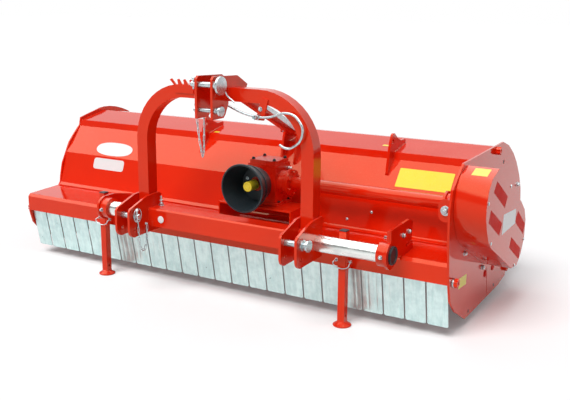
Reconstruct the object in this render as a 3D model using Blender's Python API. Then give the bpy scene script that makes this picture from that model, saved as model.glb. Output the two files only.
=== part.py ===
"""Flail mulcher for a tractor's three-point hitch, as separate welded, bolted and turning pieces.

X runs along the working width, to the belt drive. Y runs to the rear, against the direction
of travel. Z is up. Sizes are in metres.
"""
import math

import bmesh
import bpy
from mathutils import Vector
from mathutils.geometry import tessellate_polygon

# Working width and sheet thicknesses
FLAP_COUNT = 24
FLAP_PITCH = 0.100
FLAP_GAP = 0.004
PLATE_THICK = 0.010
HOOD_THICK = 0.005
DECK_THICK = 0.006
RIB_THICK = 0.012
SIDE_PLAY = 0.002
SEAT = 0.0003
RUN_GAP = 0.0006

WORK_HALF = FLAP_COUNT * FLAP_PITCH / 2
PLATE_IN = WORK_HALF + SIDE_PLAY
PLATE_OUT = PLATE_IN + PLATE_THICK
SHEET_END = PLATE_IN - SEAT

# Hood and front deck, seen from the side
LIP_Y = -0.054
LIP_BOTTOM_Z = 0.2555
DECK_FRONT_Z = 0.346
DECK_RISE = 0.009
DECK_BEND = 0.014
HOOD_FOOT_Y = 0.170
DECK_REAR_Y = 0.195
HOOD_FOOT_Z = DECK_FRONT_Z + DECK_RISE
CREASE_Y = 0.240
CREASE_Z = 0.538
BOX_Y = 0.360
BOX_LEAN = 0.011
BOX_LOW_Z = 0.6755
TOP_Z = 0.708
TOP_REAR_Y = 0.560
TOP_REAR_Z = 0.7460
PLATE_PROUD = 0.014
REAR_Y = 0.972
REAR_Z = 0.415
SKIRT_Z = 0.320

# End plates
SKID_TIP_Y = 0.171
SKID_TIP_Z = 0.036
SKID_REAR_Y = 0.728
SKID_REAR_Z = 0.055
APEX_Y = 0.600
APEX_Z = 0.765
PLATE_REAR_MARGIN = 0.018
PLATE_FRONT_Y = -0.108

# Flaps and their rod
FLAP_THICK = 0.004
FLAP_BOTTOM_Z = 0.050
FLAP_SLANT = math.radians(10.5)
ROD_R = 0.007
ROD_Y = -0.0281
ROD_Z = 0.2641
KNUCKLE_WALL = 0.0037
EAR_THICK = 0.003
EAR_EVERY = 6
ROD_HEAD_R = 0.020
ROD_HEAD_LONG = 0.010

# Rotor
ROTOR_Y = 0.425
ROTOR_Z = 0.375
ROTOR_TUBE_R = 0.085
ROTOR_WALL = 0.010
ROTOR_TIP_R = 0.212
ROTOR_SHAFT_R = 0.025
ROTOR_END_GAP = 0.040
HAMMER_COUNT = 20
HAMMER_WIDE = 0.050
HAMMER_THICK = 0.016
BEARING_R = 0.072
BEARING_LONG = 0.034

# Rear roller
ROLLER_Y = 0.770
ROLLER_Z = 0.136
ROLLER_R = 0.080
ROLLER_WALL = 0.006
ROLLER_AXLE_R = 0.015
ROLLER_END_GAP = 0.032
BRACKET_THICK = 0.0094

# Gearbox, platform and drive line
GEARBOX_X = 0.236
GEARBOX_Y = 0.120
DRIVE_Z = 0.560
CASE_WIDE = 0.150
CASE_LONG = 0.136
CASE_TOP_Z = 0.645
CASE_WALL = 0.012
COVER_THICK = 0.018
PLATFORM_FRONT_Y = -0.010
PLATFORM_REAR_Y = 0.166
PLATFORM_Z = 0.455
PLATFORM_THICK = 0.008
PLATFORM_LEFT_X = 0.030
PLATFORM_RIGHT_X = 0.430
PTO_R = 0.0175
PTO_TIP_Y = -0.070
CAP_R = 0.0232
CAP_LONG = 0.040
CAP_WALL = 0.003
GUARD_R = 0.1105
GUARD_BACK_R = 0.080
GUARD_WALL = 0.0045
GUARD_FRONT_Y = -0.118
NECK_FRONT_Y = 0.008
CROWN_R = 0.045
PINION_R = 0.015
DRIVE_TUBE_R = 0.030
DRIVE_TUBE_WALL = 0.006
DRIVE_SHAFT_R = 0.0175
DRIVE_FLANGE_R = 0.062
DRIVE_FLANGE_THICK = 0.0125
LUG_BACK = 0.065
LUG_WIDE = 0.062
LUG_HIGH = 0.100
LUG_LOW = 0.0185
LUG_DEEP = 0.040

# Belt drive in its cover
COVER_DEPTH = 0.134
COVER_WALL = 0.004
DRIVE_PULLEY_R = 0.116
ROTOR_PULLEY_R = 0.090
PULLEY_WIDE = 0.070
PULLEY_RIM = 0.006
PULLEY_LIP = 0.005
BELT_THICK = 0.008
PULLEY_X = PLATE_OUT + 0.042

# Side-shift tube and its holders
TUBE_Y = -0.155
TUBE_Z = 0.3775
TUBE_R = 0.0365
TUBE_WALL = 0.008
TUBE_LEFT_X = -0.566
TUBE_RIGHT_X = 0.998
RING_WALL = 0.0145
RING_LONG = 0.052
NOSE_WALL = 0.023
NOSE_THICK = 0.012
NOSE_SHOW = 0.006
CHEEK_THICK = 0.012
CHEEK_BACK = 0.006
SLIT = 0.004
HOLDER_FOOT = 0.046
HOLDER_FOOT_THICK = 0.010
HOLDER_REAR_Y = 0.076

# Hitch: beam, clevis plates and arch, all centred on the hitch
HITCH_X = 0.160
LOWER_SPAN = 0.890
CLEVIS_GAP = 0.064
CLEVIS_THICK = 0.012
CLEVIS_NOSE_Y = -0.340
CLEVIS_TOP_Z = 0.488
CLEVIS_BOTTOM_Z = 0.303
HITCH_REAR_Y = -0.115
BEAM_FRONT_Y = -0.203
BEAM_TOP_Z = 0.426
BEAM_BOTTOM_Z = 0.338
BEAM_CORNER = 0.007
LOWER_PIN_Y = -0.300
LOWER_PIN_Z = 0.404
LOWER_PIN_R = 0.014
PIN_HEAD_R = 0.026
PIN_HEAD_THICK = 0.010
PIN_REACH = 0.037
ARCH_WIDE = 0.060
ARCH_FRONT_Y = -0.180
ARCH_REAR_Y = -0.115
ARCH_TOP_Z = 1.020
ARCH_R = 0.270
ARCH_FOOT_Z = 0.438
MAST_GAP = 0.070
MAST_THICK = 0.012
MAST_FRONT_Y = -0.300
MAST_RISE = 0.054
MAST_DROP = 0.130
TOP_PIN_Y = -0.280
TOP_PIN_RISE = 0.016
TOP_PIN_R = 0.0125
TOP_HEAD_R = 0.040
TOP_PIN_REACH = 0.034
SPARE_PIN_DROP = 0.093
SPARE_PIN_R = 0.0095
SPARE_HEAD_R = 0.022
COMB_X = -0.110
COMB_RISE = 0.024
COMB_THICK = 0.006
COMB_STEP = 0.034
HOOK_X = 0.372
HOOK_DROP = 0.115
HOOK_R = 0.0055

# Stay between the arch and the hood's bracket
STAY_X = 0.2325
STAY_BRACKET_GAP = 0.063
STAY_HIGH = 0.042
STAY_WIDE = 0.030
STAY_PIN_BACK = 0.010
STAY_PIN_RISE = 0.054
STAY_PIN_R = 0.009
STAY_FRONT_DROP = 0.042
STAY_FLANGE = 0.006
RIB_LEFT_X = -0.295
RIB_RIGHT_X = 0.761
RIB_TOP = 0.089

# Stand legs
LEG_Y = -0.093
LEG_SIDE = 0.034
LEG_TOP_Z = 0.432
LEG_LEFT_X = -0.620
LEG_RIGHT_X = 0.744
FOOT_R = 0.0415
FOOT_THICK = 0.007
FOOT_CONE = 0.016
GUIDE_WALL = 0.006
GUIDE_LOW_Z = 0.265
GUIDE_HIGH_Z = 0.325

RED = (0.62, 0.030, 0.012)
ZINC = (0.66, 0.68, 0.67)
STEEL = (0.50, 0.51, 0.52)
BLACK = (0.018, 0.019, 0.021)
YELLOW = (0.80, 0.55, 0.03)

for old in list(bpy.data.objects):
    bpy.data.objects.remove(old, do_unlink=True)

root = bpy.data.objects.new("mulcher", None)
bpy.context.scene.collection.objects.link(root)
placed = []


def material(name, colour, roughness, metallic):
    mat = bpy.data.materials.new(name)
    mat.use_nodes = True
    shader = mat.node_tree.nodes["Principled BSDF"]
    shader.inputs["Base Color"].default_value = (*colour, 1.0)
    shader.inputs["Roughness"].default_value = roughness
    shader.inputs["Metallic"].default_value = metallic
    mat.diffuse_color = (*colour, 1.0)
    return mat


def point(axis, along, u, v):
    if axis == "X":
        return Vector((along, u, v))
    if axis == "Y":
        return Vector((u, along, v))
    return Vector((u, v, along))


def finish(bm):
    bmesh.ops.remove_doubles(bm, verts=bm.verts, dist=1e-6)
    bmesh.ops.recalc_face_normals(bm, faces=bm.faces)
    mesh = bpy.data.meshes.new("shape")
    bm.to_mesh(mesh)
    bm.free()
    return mesh


def prism(axis, start, end, *loops):
    """A straight-sided solid: the first loop is its outline, any others are holes."""
    bm = bmesh.new()
    near = [[bm.verts.new(point(axis, start, u, v)) for u, v in loop] for loop in loops]
    far = [[bm.verts.new(point(axis, end, u, v)) for u, v in loop] for loop in loops]
    for a, b in zip(near, far):
        for i in range(len(a)):
            j = (i + 1) % len(a)
            bm.faces.new((a[i], a[j], b[j], b[i]))
    flat = [[Vector((u, v, 0.0)) for u, v in loop] for loop in loops]
    for ring in (near, far):
        corners = [v for loop in ring for v in loop]
        for tri in tessellate_polygon(flat):
            bm.faces.new([corners[i] for i in tri])
    return finish(bm)


def box(x0, x1, y0, y1, z0, z1):
    return prism("Z", z0, z1, [(x0, y0), (x1, y0), (x1, y1), (x0, y1)])


def revolve(axis, centre, profile, segments=24, closed=False):
    """A turned solid from (along, radius) points; a radius of 0 ends on the axis."""
    bm = bmesh.new()
    rings = []
    for along, radius in profile:
        if radius == 0:
            rings.append([bm.verts.new(point(axis, along, *centre))])
            continue
        ring = []
        for k in range(segments):
            turn = 2 * math.pi * k / segments
            u = centre[0] + radius * math.cos(turn)
            v = centre[1] + radius * math.sin(turn)
            ring.append(bm.verts.new(point(axis, along, u, v)))
        rings.append(ring)
    pairs = list(zip(rings, rings[1:]))
    if closed:
        pairs.append((rings[-1], rings[0]))
    else:
        for end, disc in ((0, 1), (-1, -2)):
            if profile[end][0] == profile[disc][0]:
                bm.verts.remove(rings[end][0])
                bm.faces.new(rings[disc])
                pairs.pop(end)
    for a, b in pairs:
        for k in range(segments):
            n = (k + 1) % segments
            if len(a) == 1:
                bm.faces.new((a[0], b[n], b[k]))
            elif len(b) == 1:
                bm.faces.new((a[k], a[n], b[0]))
            else:
                bm.faces.new((a[k], a[n], b[n], b[k]))
    return finish(bm)


def rod(axis, centre, radius, start, end, segments=24):
    return revolve(axis, centre, [(start, 0), (start, radius), (end, radius), (end, 0)], segments)


def circle(u, v, radius, segments=24, first=0.0, last=360.0):
    """Points on an arc from first to last degrees; a whole circle leaves out the repeat."""
    whole = abs(last - first) >= 360
    steps = segments if whole else segments - 1
    result = []
    for k in range(segments):
        turn = math.radians(first + (last - first) * k / steps)
        result.append((u + radius * math.cos(turn), v + radius * math.sin(turn)))
    return result


def offset_path(path, distance):
    """The open path moved to its right-hand side, with mitred corners."""
    sides = []
    for (u0, v0), (u1, v1) in zip(path, path[1:]):
        length = math.hypot(u1 - u0, v1 - v0)
        sides.append(((v1 - v0) / length, -(u1 - u0) / length))
    result = []
    for i, (u, v) in enumerate(path):
        a = sides[max(i - 1, 0)]
        b = sides[min(i, len(sides) - 1)]
        scale = distance / (1 + a[0] * b[0] + a[1] * b[1])
        result.append((u + (a[0] + b[0]) * scale, v + (a[1] + b[1]) * scale))
    return result


def inset_loop(loop, distance):
    """A closed loop, given clockwise, moved inwards with mitred corners."""
    wrapped = [loop[-1]] + list(loop) + [loop[0]]
    return offset_path(wrapped, distance)[1:-1]


def strip(path, thickness):
    """The cross-section of a bent sheet whose outer face follows the path."""
    return list(path) + offset_path(path, thickness)[::-1]


def sweep(points, radius, segments=8):
    """A round bar bent through the points."""
    bm = bmesh.new()
    spots = [Vector(p) for p in points]
    rings = []
    for i, spot in enumerate(spots):
        ahead = spots[min(i + 1, len(spots) - 1)] - spots[max(i - 1, 0)]
        ahead.normalize()
        side = ahead.cross(Vector((0, 1, 0))).normalized()
        other = ahead.cross(side)
        ring = []
        for k in range(segments):
            turn = 2 * math.pi * k / segments
            ring.append(bm.verts.new(spot + radius * (side * math.cos(turn) + other * math.sin(turn))))
        rings.append(ring)
    for a, b in zip(rings, rings[1:]):
        for k in range(segments):
            n = (k + 1) % segments
            bm.faces.new((a[k], a[n], b[n], b[k]))
    bm.faces.new(rings[0])
    bm.faces.new(rings[-1])
    return finish(bm)


def boolean(base, tools, operation):
    for tool in tools:
        target = bpy.data.objects.new("target", base)
        other = bpy.data.objects.new("tool", tool)
        for obj in (target, other):
            bpy.context.scene.collection.objects.link(obj)
        modifier = target.modifiers.new("boolean", "BOOLEAN")
        modifier.operation = operation
        modifier.solver = "EXACT"
        modifier.object = other
        graph = bpy.context.evaluated_depsgraph_get()
        base = bpy.data.meshes.new_from_object(target.evaluated_get(graph))
        for obj in (target, other):
            bpy.data.objects.remove(obj, do_unlink=True)
    return base


def weld(base, *tools):
    return boolean(base, tools, "UNION")


def cut(base, *tools):
    return boolean(base, tools, "DIFFERENCE")


def merge(*meshes):
    """Meshes that don't touch, as one mesh for a single Boolean."""
    bm = bmesh.new()
    for mesh in meshes:
        bm.from_mesh(mesh)
    return finish(bm)


def place(name, mesh, mat, origin=(0.0, 0.0, 0.0)):
    bm = bmesh.new()
    bm.from_mesh(mesh)
    bmesh.ops.translate(bm, verts=bm.verts, vec=-Vector(origin))
    bm.to_mesh(mesh)
    bm.free()
    mesh.name = name
    mesh.materials.clear()
    mesh.materials.append(mat)
    mesh.shade_smooth()
    mesh.set_sharp_from_angle(angle=math.radians(30))
    obj = bpy.data.objects.new(name, mesh)
    bpy.context.scene.collection.objects.link(obj)
    obj.parent = root
    obj.location = origin
    placed.append(obj)
    return obj


red_paint = material("red_paint", RED, 0.25, 0.0)
zinc_plate = material("zinc_plate", ZINC, 0.35, 1.0)
bright_steel = material("bright_steel", STEEL, 0.25, 1.0)
black_plastic = material("black_plastic", BLACK, 0.45, 0.0)
yellow_plastic = material("yellow_plastic", YELLOW, 0.4, 0.0)
black_rubber = material("black_rubber", BLACK, 0.8, 0.0)

# Hood: the bent sheet over the rotor, with four upright ribs welded on
deck_slope = DECK_RISE / (HOOD_FOOT_Y - LIP_Y - DECK_BEND)


def deck_z(y):
    return DECK_FRONT_Z + deck_slope * (y - LIP_Y - DECK_BEND)


hood_front = [
    (HOOD_FOOT_Y, deck_z(HOOD_FOOT_Y + HOOD_THICK) + SEAT),
    (HOOD_FOOT_Y, HOOD_FOOT_Z + 0.005),
    (HOOD_FOOT_Y + 0.014, HOOD_FOOT_Z + 0.017),
    (CREASE_Y, CREASE_Z),
    (BOX_Y, BOX_LOW_Z),
    (BOX_Y + BOX_LEAN, TOP_Z),
]
hood_rear = [
    (TOP_REAR_Y, TOP_REAR_Z),
    (TOP_REAR_Y + 0.032, TOP_REAR_Z - 0.002),
    (TOP_REAR_Y + 0.096, TOP_REAR_Z - 0.018),
    (TOP_REAR_Y + 0.160, TOP_REAR_Z - 0.046),
    (TOP_REAR_Y + 0.215, TOP_REAR_Z - 0.081),
    (TOP_REAR_Y + 0.285, TOP_REAR_Z - 0.137),
    (REAR_Y - 0.062, REAR_Z + 0.132),
    (REAR_Y - 0.017, REAR_Z + 0.062),
    (REAR_Y, REAR_Z),
    (REAR_Y - 0.017, SKIRT_Z),
]
hood = prism("X", -SHEET_END, SHEET_END, strip(hood_front + hood_rear, HOOD_THICK))


def top_z(y):
    along = (y - BOX_Y - BOX_LEAN) / (TOP_REAR_Y - BOX_Y - BOX_LEAN)
    return TOP_Z + (TOP_REAR_Z - TOP_Z) * along


def facet(share, out):
    """A point on the hood's upper facet, from its crease up, moved out of the sheet."""
    dy = BOX_Y - CREASE_Y
    dz = BOX_LOW_Z - CREASE_Z
    long = math.hypot(dy, dz)
    return (CREASE_Y + dy * share - out * dz / long, CREASE_Z + dz * share + out * dy / long)


rib_end_y = BOX_Y + 0.146
rib_outline = [
    facet(0.50, -HOOD_THICK / 2),
    facet(0.53, HOOD_THICK * 2),
    (BOX_Y - 0.040, TOP_Z + 0.030),
    (BOX_Y - 0.018, TOP_Z + RIB_TOP - 0.007),
    (BOX_Y - 0.008, TOP_Z + RIB_TOP),
    (BOX_Y + 0.007, TOP_Z + RIB_TOP),
    (BOX_Y + 0.052, top_z(BOX_Y + 0.052) + 0.050),
    (BOX_Y + 0.090, top_z(BOX_Y + 0.090) + 0.029),
    (rib_end_y - 0.008, top_z(rib_end_y) + 0.020),
    (rib_end_y, top_z(rib_end_y) + 0.010),
    (rib_end_y - 0.003, top_z(rib_end_y) - HOOD_THICK / 2),
    (BOX_Y + BOX_LEAN + 0.003, TOP_Z - HOOD_THICK / 2),
    (BOX_Y + HOOD_THICK / 2, BOX_LOW_Z - 0.001),
]
stay_pin_y = BOX_Y - STAY_PIN_BACK
stay_pin_z = TOP_Z + STAY_PIN_RISE
plain_hole = circle(stay_pin_y, stay_pin_z, STAY_PIN_R + RUN_GAP, 16)
rib_places = [RIB_LEFT_X, STAY_X - (STAY_BRACKET_GAP + RIB_THICK) / 2,
              STAY_X + (STAY_BRACKET_GAP + RIB_THICK) / 2, RIB_RIGHT_X]
ribs = [prism("X", x - RIB_THICK / 2, x + RIB_THICK / 2, rib_outline, plain_hole) for x in rib_places]
place("hood_shell", weld(hood, *ribs), red_paint)

# Front deck: lip, top sheet, leg guides and the ears of the flap rod
deck_path = [
    (LIP_Y, LIP_BOTTOM_Z),
    (LIP_Y, DECK_FRONT_Z - DECK_BEND),
    (LIP_Y + DECK_BEND, DECK_FRONT_Z),
    (DECK_REAR_Y, deck_z(DECK_REAR_Y)),
]
deck = prism("X", -SHEET_END, SHEET_END, strip(deck_path, DECK_THICK))


def leg_guide(x):
    inner = LEG_SIDE / 2 + RUN_GAP
    outer = inner + GUIDE_WALL
    web = LEG_Y + inner
    front = LEG_Y - LEG_SIDE / 2 + 0.004
    back = LIP_Y + 0.001
    outline = [(x - outer, front), (x - inner, front), (x - inner, web), (x + inner, web),
               (x + inner, front), (x + outer, front), (x + outer, back), (x - outer, back)]
    return prism("Z", GUIDE_LOW_Z, GUIDE_HIGH_Z, outline)


def rod_ear(x):
    reach = ROD_R + RUN_GAP + 0.0045
    back = LIP_Y + DECK_THICK - 0.001
    low = max(ROD_Z - reach, LIP_BOTTOM_Z + 0.001)
    outline = circle(ROD_Y, ROD_Z, reach, 9, -90, 90) + [(back, ROD_Z + reach + 0.012), (back, low)]
    return prism("X", x - EAR_THICK / 2, x + EAR_THICK / 2, outline, circle(ROD_Y, ROD_Z, ROD_R + RUN_GAP, 12))


ears = [rod_ear(-WORK_HALF + FLAP_PITCH * k) for k in range(EAR_EVERY, FLAP_COUNT, EAR_EVERY)]
deck = weld(deck, leg_guide(LEG_LEFT_X), leg_guide(LEG_RIGHT_X), *ears)
place("front_deck", deck, red_paint)

# End plates with their holes
plate_rear = [
    (SKID_REAR_Y + 0.059, SKID_REAR_Z + 0.010),
    (REAR_Y + PLATE_REAR_MARGIN, REAR_Z + 0.002),
    (REAR_Y - 0.017 + PLATE_REAR_MARGIN, REAR_Z + 0.066),
    (REAR_Y - 0.062 + PLATE_REAR_MARGIN, REAR_Z + 0.140),
    (REAR_Y - 0.131 + PLATE_REAR_MARGIN, REAR_Z + 0.215),
]
right_top = [
    (APEX_Y + 0.188, APEX_Z - 0.079),
    (APEX_Y + 0.097, APEX_Z - 0.029),
    (APEX_Y, APEX_Z),
]
left_top = [
    (APEX_Y + 0.225, APEX_Z - 0.077),
    (APEX_Y + 0.184, APEX_Z - 0.045),
    (APEX_Y + 0.128, APEX_Z - 0.024),
    (APEX_Y + 0.072, APEX_Z - 0.009),
    (APEX_Y + 0.021, APEX_Z - 0.0015),
    (APEX_Y - 0.030, APEX_Z),
    (APEX_Y - 0.065, APEX_Z - 0.004),
    (APEX_Y - 0.110, APEX_Z - 0.015),
    (APEX_Y - 0.169, APEX_Z - 0.028),
]
plate_bottom = [
    (LIP_Y + 0.082, SKID_TIP_Z + 0.080),
    (SKID_TIP_Y, SKID_TIP_Z),
    (SKID_REAR_Y - 0.044, SKID_REAR_Z - 0.009),
    (SKID_REAR_Y, SKID_REAR_Z),
]
right_front = [
    (GEARBOX_Y - 0.084, TOP_Z + 0.045),
    (PLATE_FRONT_Y + 0.025, CREASE_Z + 0.127),
    (PLATE_FRONT_Y, CREASE_Z + 0.047),
    (PLATE_FRONT_Y + 0.010, CREASE_Z - 0.083),
    (LIP_Y - 0.013, LIP_BOTTOM_Z + 0.013),
    (LIP_Y + 0.012, LIP_BOTTOM_Z - 0.073),
]
left_front = [
    (BOX_Y + BOX_LEAN, TOP_Z + PLATE_PROUD),
    (BOX_Y, BOX_LOW_Z + 0.0045),
    (BOX_Y - 0.045, BOX_LOW_Z - 0.0365),
    (CREASE_Y + 0.028, CREASE_Z + 0.052),
    (CREASE_Y, CREASE_Z),
    (CREASE_Y - 0.033, CREASE_Z - 0.060),
    (HOOD_FOOT_Y + 0.019, HOOD_FOOT_Z + 0.052),
    (HOOD_FOOT_Y + 0.014, HOOD_FOOT_Z + 0.017),
    (HOOD_FOOT_Y, HOOD_FOOT_Z),
    (LIP_Y + DECK_BEND, DECK_FRONT_Z),
    (LIP_Y, DECK_FRONT_Z - DECK_BEND),
    (LIP_Y, LIP_BOTTOM_Z - 0.008),
    (LIP_Y + 0.018, LIP_BOTTOM_Z - 0.071),
    (LIP_Y + 0.044, LIP_BOTTOM_Z - 0.102),
]
rotor_hole = circle(ROTOR_Y, ROTOR_Z, ROTOR_SHAFT_R + 0.010)
rod_hole = circle(ROD_Y, ROD_Z, ROD_R + SEAT, 12)
shaft_hole = circle(GEARBOX_Y, DRIVE_Z, DRIVE_SHAFT_R + 0.008)
sight_hole = circle(APEX_Y + 0.024, APEX_Z - 0.097, 0.010, 16)
place("left_end_plate", prism("X", -PLATE_OUT, -PLATE_IN, left_front + plate_bottom + plate_rear + left_top,
                              rotor_hole, rod_hole), red_paint)
place("right_end_plate", prism("X", PLATE_IN, PLATE_OUT, right_front + plate_bottom + plate_rear + right_top,
                               rotor_hole, rod_hole, shaft_hole, sight_hole), red_paint)

# Flap rod with a head outside each end plate
head = PLATE_OUT + SEAT
rod_end = head + ROD_HEAD_LONG
rod_profile = [(-rod_end, 0), (-rod_end, ROD_HEAD_R), (-head, ROD_HEAD_R), (-head, ROD_R),
               (head, ROD_R), (head, ROD_HEAD_R), (rod_end, ROD_HEAD_R), (rod_end, 0)]
place("flap_rod", revolve("X", (ROD_Y, ROD_Z), rod_profile, 12), zinc_plate)

# Flaps: a knuckle round the rod and a sheet that hangs from its front side
knuckle_in = ROD_R + RUN_GAP
knuckle_out = knuckle_in + KNUCKLE_WALL
lean = math.degrees(FLAP_SLANT)


def flap_point(down, back):
    """A point in the flap's own plane: down along the sheet, back from its front face."""
    front = back - knuckle_out
    y = ROD_Y + front * math.cos(FLAP_SLANT) + down * math.sin(FLAP_SLANT)
    z = ROD_Z + front * math.sin(FLAP_SLANT) - down * math.cos(FLAP_SLANT)
    return (y, z)


flap_long = (ROD_Z - knuckle_out * math.sin(FLAP_SLANT) - FLAP_BOTTOM_Z) / math.cos(FLAP_SLANT)
knuckle_turn = math.degrees(math.acos((knuckle_out - FLAP_THICK) / knuckle_out))
knuckle_arc = circle(ROD_Y, ROD_Z, knuckle_out, 12, 180 + knuckle_turn + lean, 540 + lean)
flap_outline = knuckle_arc + [flap_point(flap_long, 0.0), flap_point(flap_long, FLAP_THICK)]
flap_bore = circle(ROD_Y, ROD_Z, knuckle_in, 12)
flap_half = (FLAP_PITCH - FLAP_GAP) / 2
for k in range(FLAP_COUNT):
    middle = -WORK_HALF + FLAP_PITCH * (k + 0.5)
    flap = prism("X", middle - flap_half, middle + flap_half, flap_outline, flap_bore)
    place("flap_%02d" % (k + 1), flap, zinc_plate, (middle, ROD_Y, ROD_Z))

# Rotor: a tube with stub shafts and hammers shown thrown out, vented through its left stub
tube_end = PLATE_IN - ROTOR_END_GAP
left_stub = PLATE_OUT + SEAT + BEARING_LONG - 0.004
right_stub = PULLEY_X + PULLEY_WIDE + 0.003
vent = ROTOR_SHAFT_R / 4
cavity = tube_end - ROTOR_WALL
rotor_profile = [(right_stub, 0), (right_stub, ROTOR_SHAFT_R), (tube_end, ROTOR_SHAFT_R),
                 (tube_end, ROTOR_TUBE_R), (-tube_end, ROTOR_TUBE_R), (-tube_end, ROTOR_SHAFT_R),
                 (-left_stub, ROTOR_SHAFT_R), (-left_stub, vent), (-cavity, vent),
                 (-cavity, ROTOR_TUBE_R - ROTOR_WALL), (cavity, ROTOR_TUBE_R - ROTOR_WALL), (cavity, 0)]
rotor = revolve("X", (ROTOR_Y, ROTOR_Z), rotor_profile, 24)
hammers = []
hammer_step = (2 * tube_end - HAMMER_WIDE - 0.020) / (HAMMER_COUNT - 1)
for k in range(HAMMER_COUNT):
    middle = -tube_end + HAMMER_WIDE / 2 + 0.010 + hammer_step * k
    turn = math.radians(82.5 + 90 * (k % 4) + 15 * (k // 4))
    out = (math.cos(turn), math.sin(turn))
    side = (-out[1], out[0])
    inner = ROTOR_TUBE_R - ROTOR_WALL / 2
    outline = []
    for reach, half in ((inner, -0.5), (ROTOR_TIP_R, -0.5), (ROTOR_TIP_R, 0.5), (inner, 0.5)):
        shift = half * HAMMER_THICK
        outline.append((ROTOR_Y + reach * out[0] + shift * side[0],
                        ROTOR_Z + reach * out[1] + shift * side[1]))
    hammers.append(prism("X", middle - HAMMER_WIDE / 2, middle + HAMMER_WIDE / 2, outline))
place("rotor", weld(rotor, merge(*hammers)), bright_steel, (0.0, ROTOR_Y, ROTOR_Z))

# Rotor bearings on the outer faces of the end plates
bore = ROTOR_SHAFT_R + RUN_GAP
near = PLATE_OUT + SEAT
far = near + BEARING_LONG
blind = [(-far - 0.006, 0), (-far - 0.006, 0.040), (-far + 0.010, 0.048), (-near - 0.012, 0.048),
         (-near - 0.012, BEARING_R), (-near, BEARING_R), (-near, bore), (-far, bore), (-far, 0)]
place("left_rotor_bearing", revolve("X", (ROTOR_Y, ROTOR_Z), blind, 24), red_paint)
through = [(near, bore), (near, BEARING_R), (near + 0.012, BEARING_R), (near + 0.012, 0.048),
           (far, 0.044), (far, bore)]
place("right_rotor_bearing", revolve("X", (ROTOR_Y, ROTOR_Z), through, 24, True), red_paint)

# Rear roller and its brackets on the inner faces of the end plates
drum_end = PLATE_IN - ROLLER_END_GAP
drum_cavity = drum_end - ROLLER_WALL
axle_end = PLATE_IN - SEAT - 0.001
axle_vent = ROLLER_AXLE_R / 3
roller_profile = [(axle_end, 0), (axle_end, ROLLER_AXLE_R), (drum_end, ROLLER_AXLE_R), (drum_end, ROLLER_R),
                  (-drum_end, ROLLER_R), (-drum_end, ROLLER_AXLE_R), (-axle_end, ROLLER_AXLE_R),
                  (-axle_end, axle_vent), (-drum_cavity, axle_vent),
                  (-drum_cavity, ROLLER_R - ROLLER_WALL), (drum_cavity, ROLLER_R - ROLLER_WALL), (drum_cavity, 0)]
place("rear_roller", revolve("X", (ROLLER_Y, ROLLER_Z), roller_profile, 24), red_paint, (0.0, ROLLER_Y, ROLLER_Z))
bracket_outline = [
    (ROLLER_Y - 0.060, ROLLER_Z + 0.104),
    (ROLLER_Y - 0.065, ROLLER_Z - 0.016),
    (ROLLER_Y - 0.040, ROLLER_Z - 0.066),
    (ROLLER_Y + 0.055, ROLLER_Z - 0.074),
    (ROLLER_Y + 0.075, ROLLER_Z - 0.046),
    (ROLLER_Y + 0.060, ROLLER_Z + 0.104),
]
axle_hole = circle(ROLLER_Y, ROLLER_Z, ROLLER_AXLE_R + RUN_GAP)
bracket_out = PLATE_IN - SEAT
bracket_in = bracket_out - BRACKET_THICK
place("left_roller_bracket", prism("X", -bracket_out, -bracket_in, bracket_outline, axle_hole), red_paint)
place("right_roller_bracket", prism("X", bracket_in, bracket_out, bracket_outline, axle_hole), red_paint)

# Platform: an open-fronted channel that stands on the deck and carries the gearbox
platform_top = [
    (PLATFORM_FRONT_Y, PLATFORM_Z - PLATFORM_THICK),
    (PLATFORM_REAR_Y, PLATFORM_Z - PLATFORM_THICK),
    (PLATFORM_REAR_Y, PLATFORM_Z),
    (PLATFORM_FRONT_Y, PLATFORM_Z),
]
platform_side = [
    (PLATFORM_FRONT_Y, deck_z(PLATFORM_FRONT_Y) + SEAT),
    (PLATFORM_REAR_Y, deck_z(PLATFORM_REAR_Y) + SEAT),
    (PLATFORM_REAR_Y, PLATFORM_Z - PLATFORM_THICK / 2),
    (PLATFORM_FRONT_Y, PLATFORM_Z - PLATFORM_THICK / 2),
]
platform = weld(prism("X", PLATFORM_LEFT_X, PLATFORM_RIGHT_X, platform_top),
                prism("X", PLATFORM_LEFT_X, PLATFORM_LEFT_X + PLATFORM_THICK, platform_side),
                prism("X", PLATFORM_RIGHT_X - PLATFORM_THICK, PLATFORM_RIGHT_X, platform_side))
place("gearbox_platform", platform, red_paint)

# Gearbox case: a hollow box with an input neck to the front and an output neck to the right
case_x0 = GEARBOX_X - CASE_WIDE / 2
case_x1 = GEARBOX_X + CASE_WIDE / 2
case_y0 = GEARBOX_Y - CASE_LONG / 2
case_y1 = GEARBOX_Y + CASE_LONG / 2
case_z0 = PLATFORM_Z + SEAT
neck_y = NECK_FRONT_Y + SEAT
neck_x = case_x1 + 0.043
case = box(case_x0, case_x1, case_y0, case_y1, case_z0, CASE_TOP_Z)
foot = box(case_x0 - 0.014, case_x1 + 0.014, case_y0 - 0.010, case_y1 + 0.002, case_z0, case_z0 + 0.012)
cover = box(case_x0 + 0.006, case_x1 - 0.006, case_y0 + 0.006, case_y1 - 0.006, CASE_TOP_Z - 0.002,
            CASE_TOP_Z + COVER_THICK)
input_neck = revolve("Y", (GEARBOX_X, DRIVE_Z), [(neck_y, 0), (neck_y, 0.070), (neck_y + 0.012, 0.070),
                     (neck_y + 0.014, 0.052), (case_y0 + 0.004, 0.058), (case_y0 + 0.004, 0)], 24)
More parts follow.
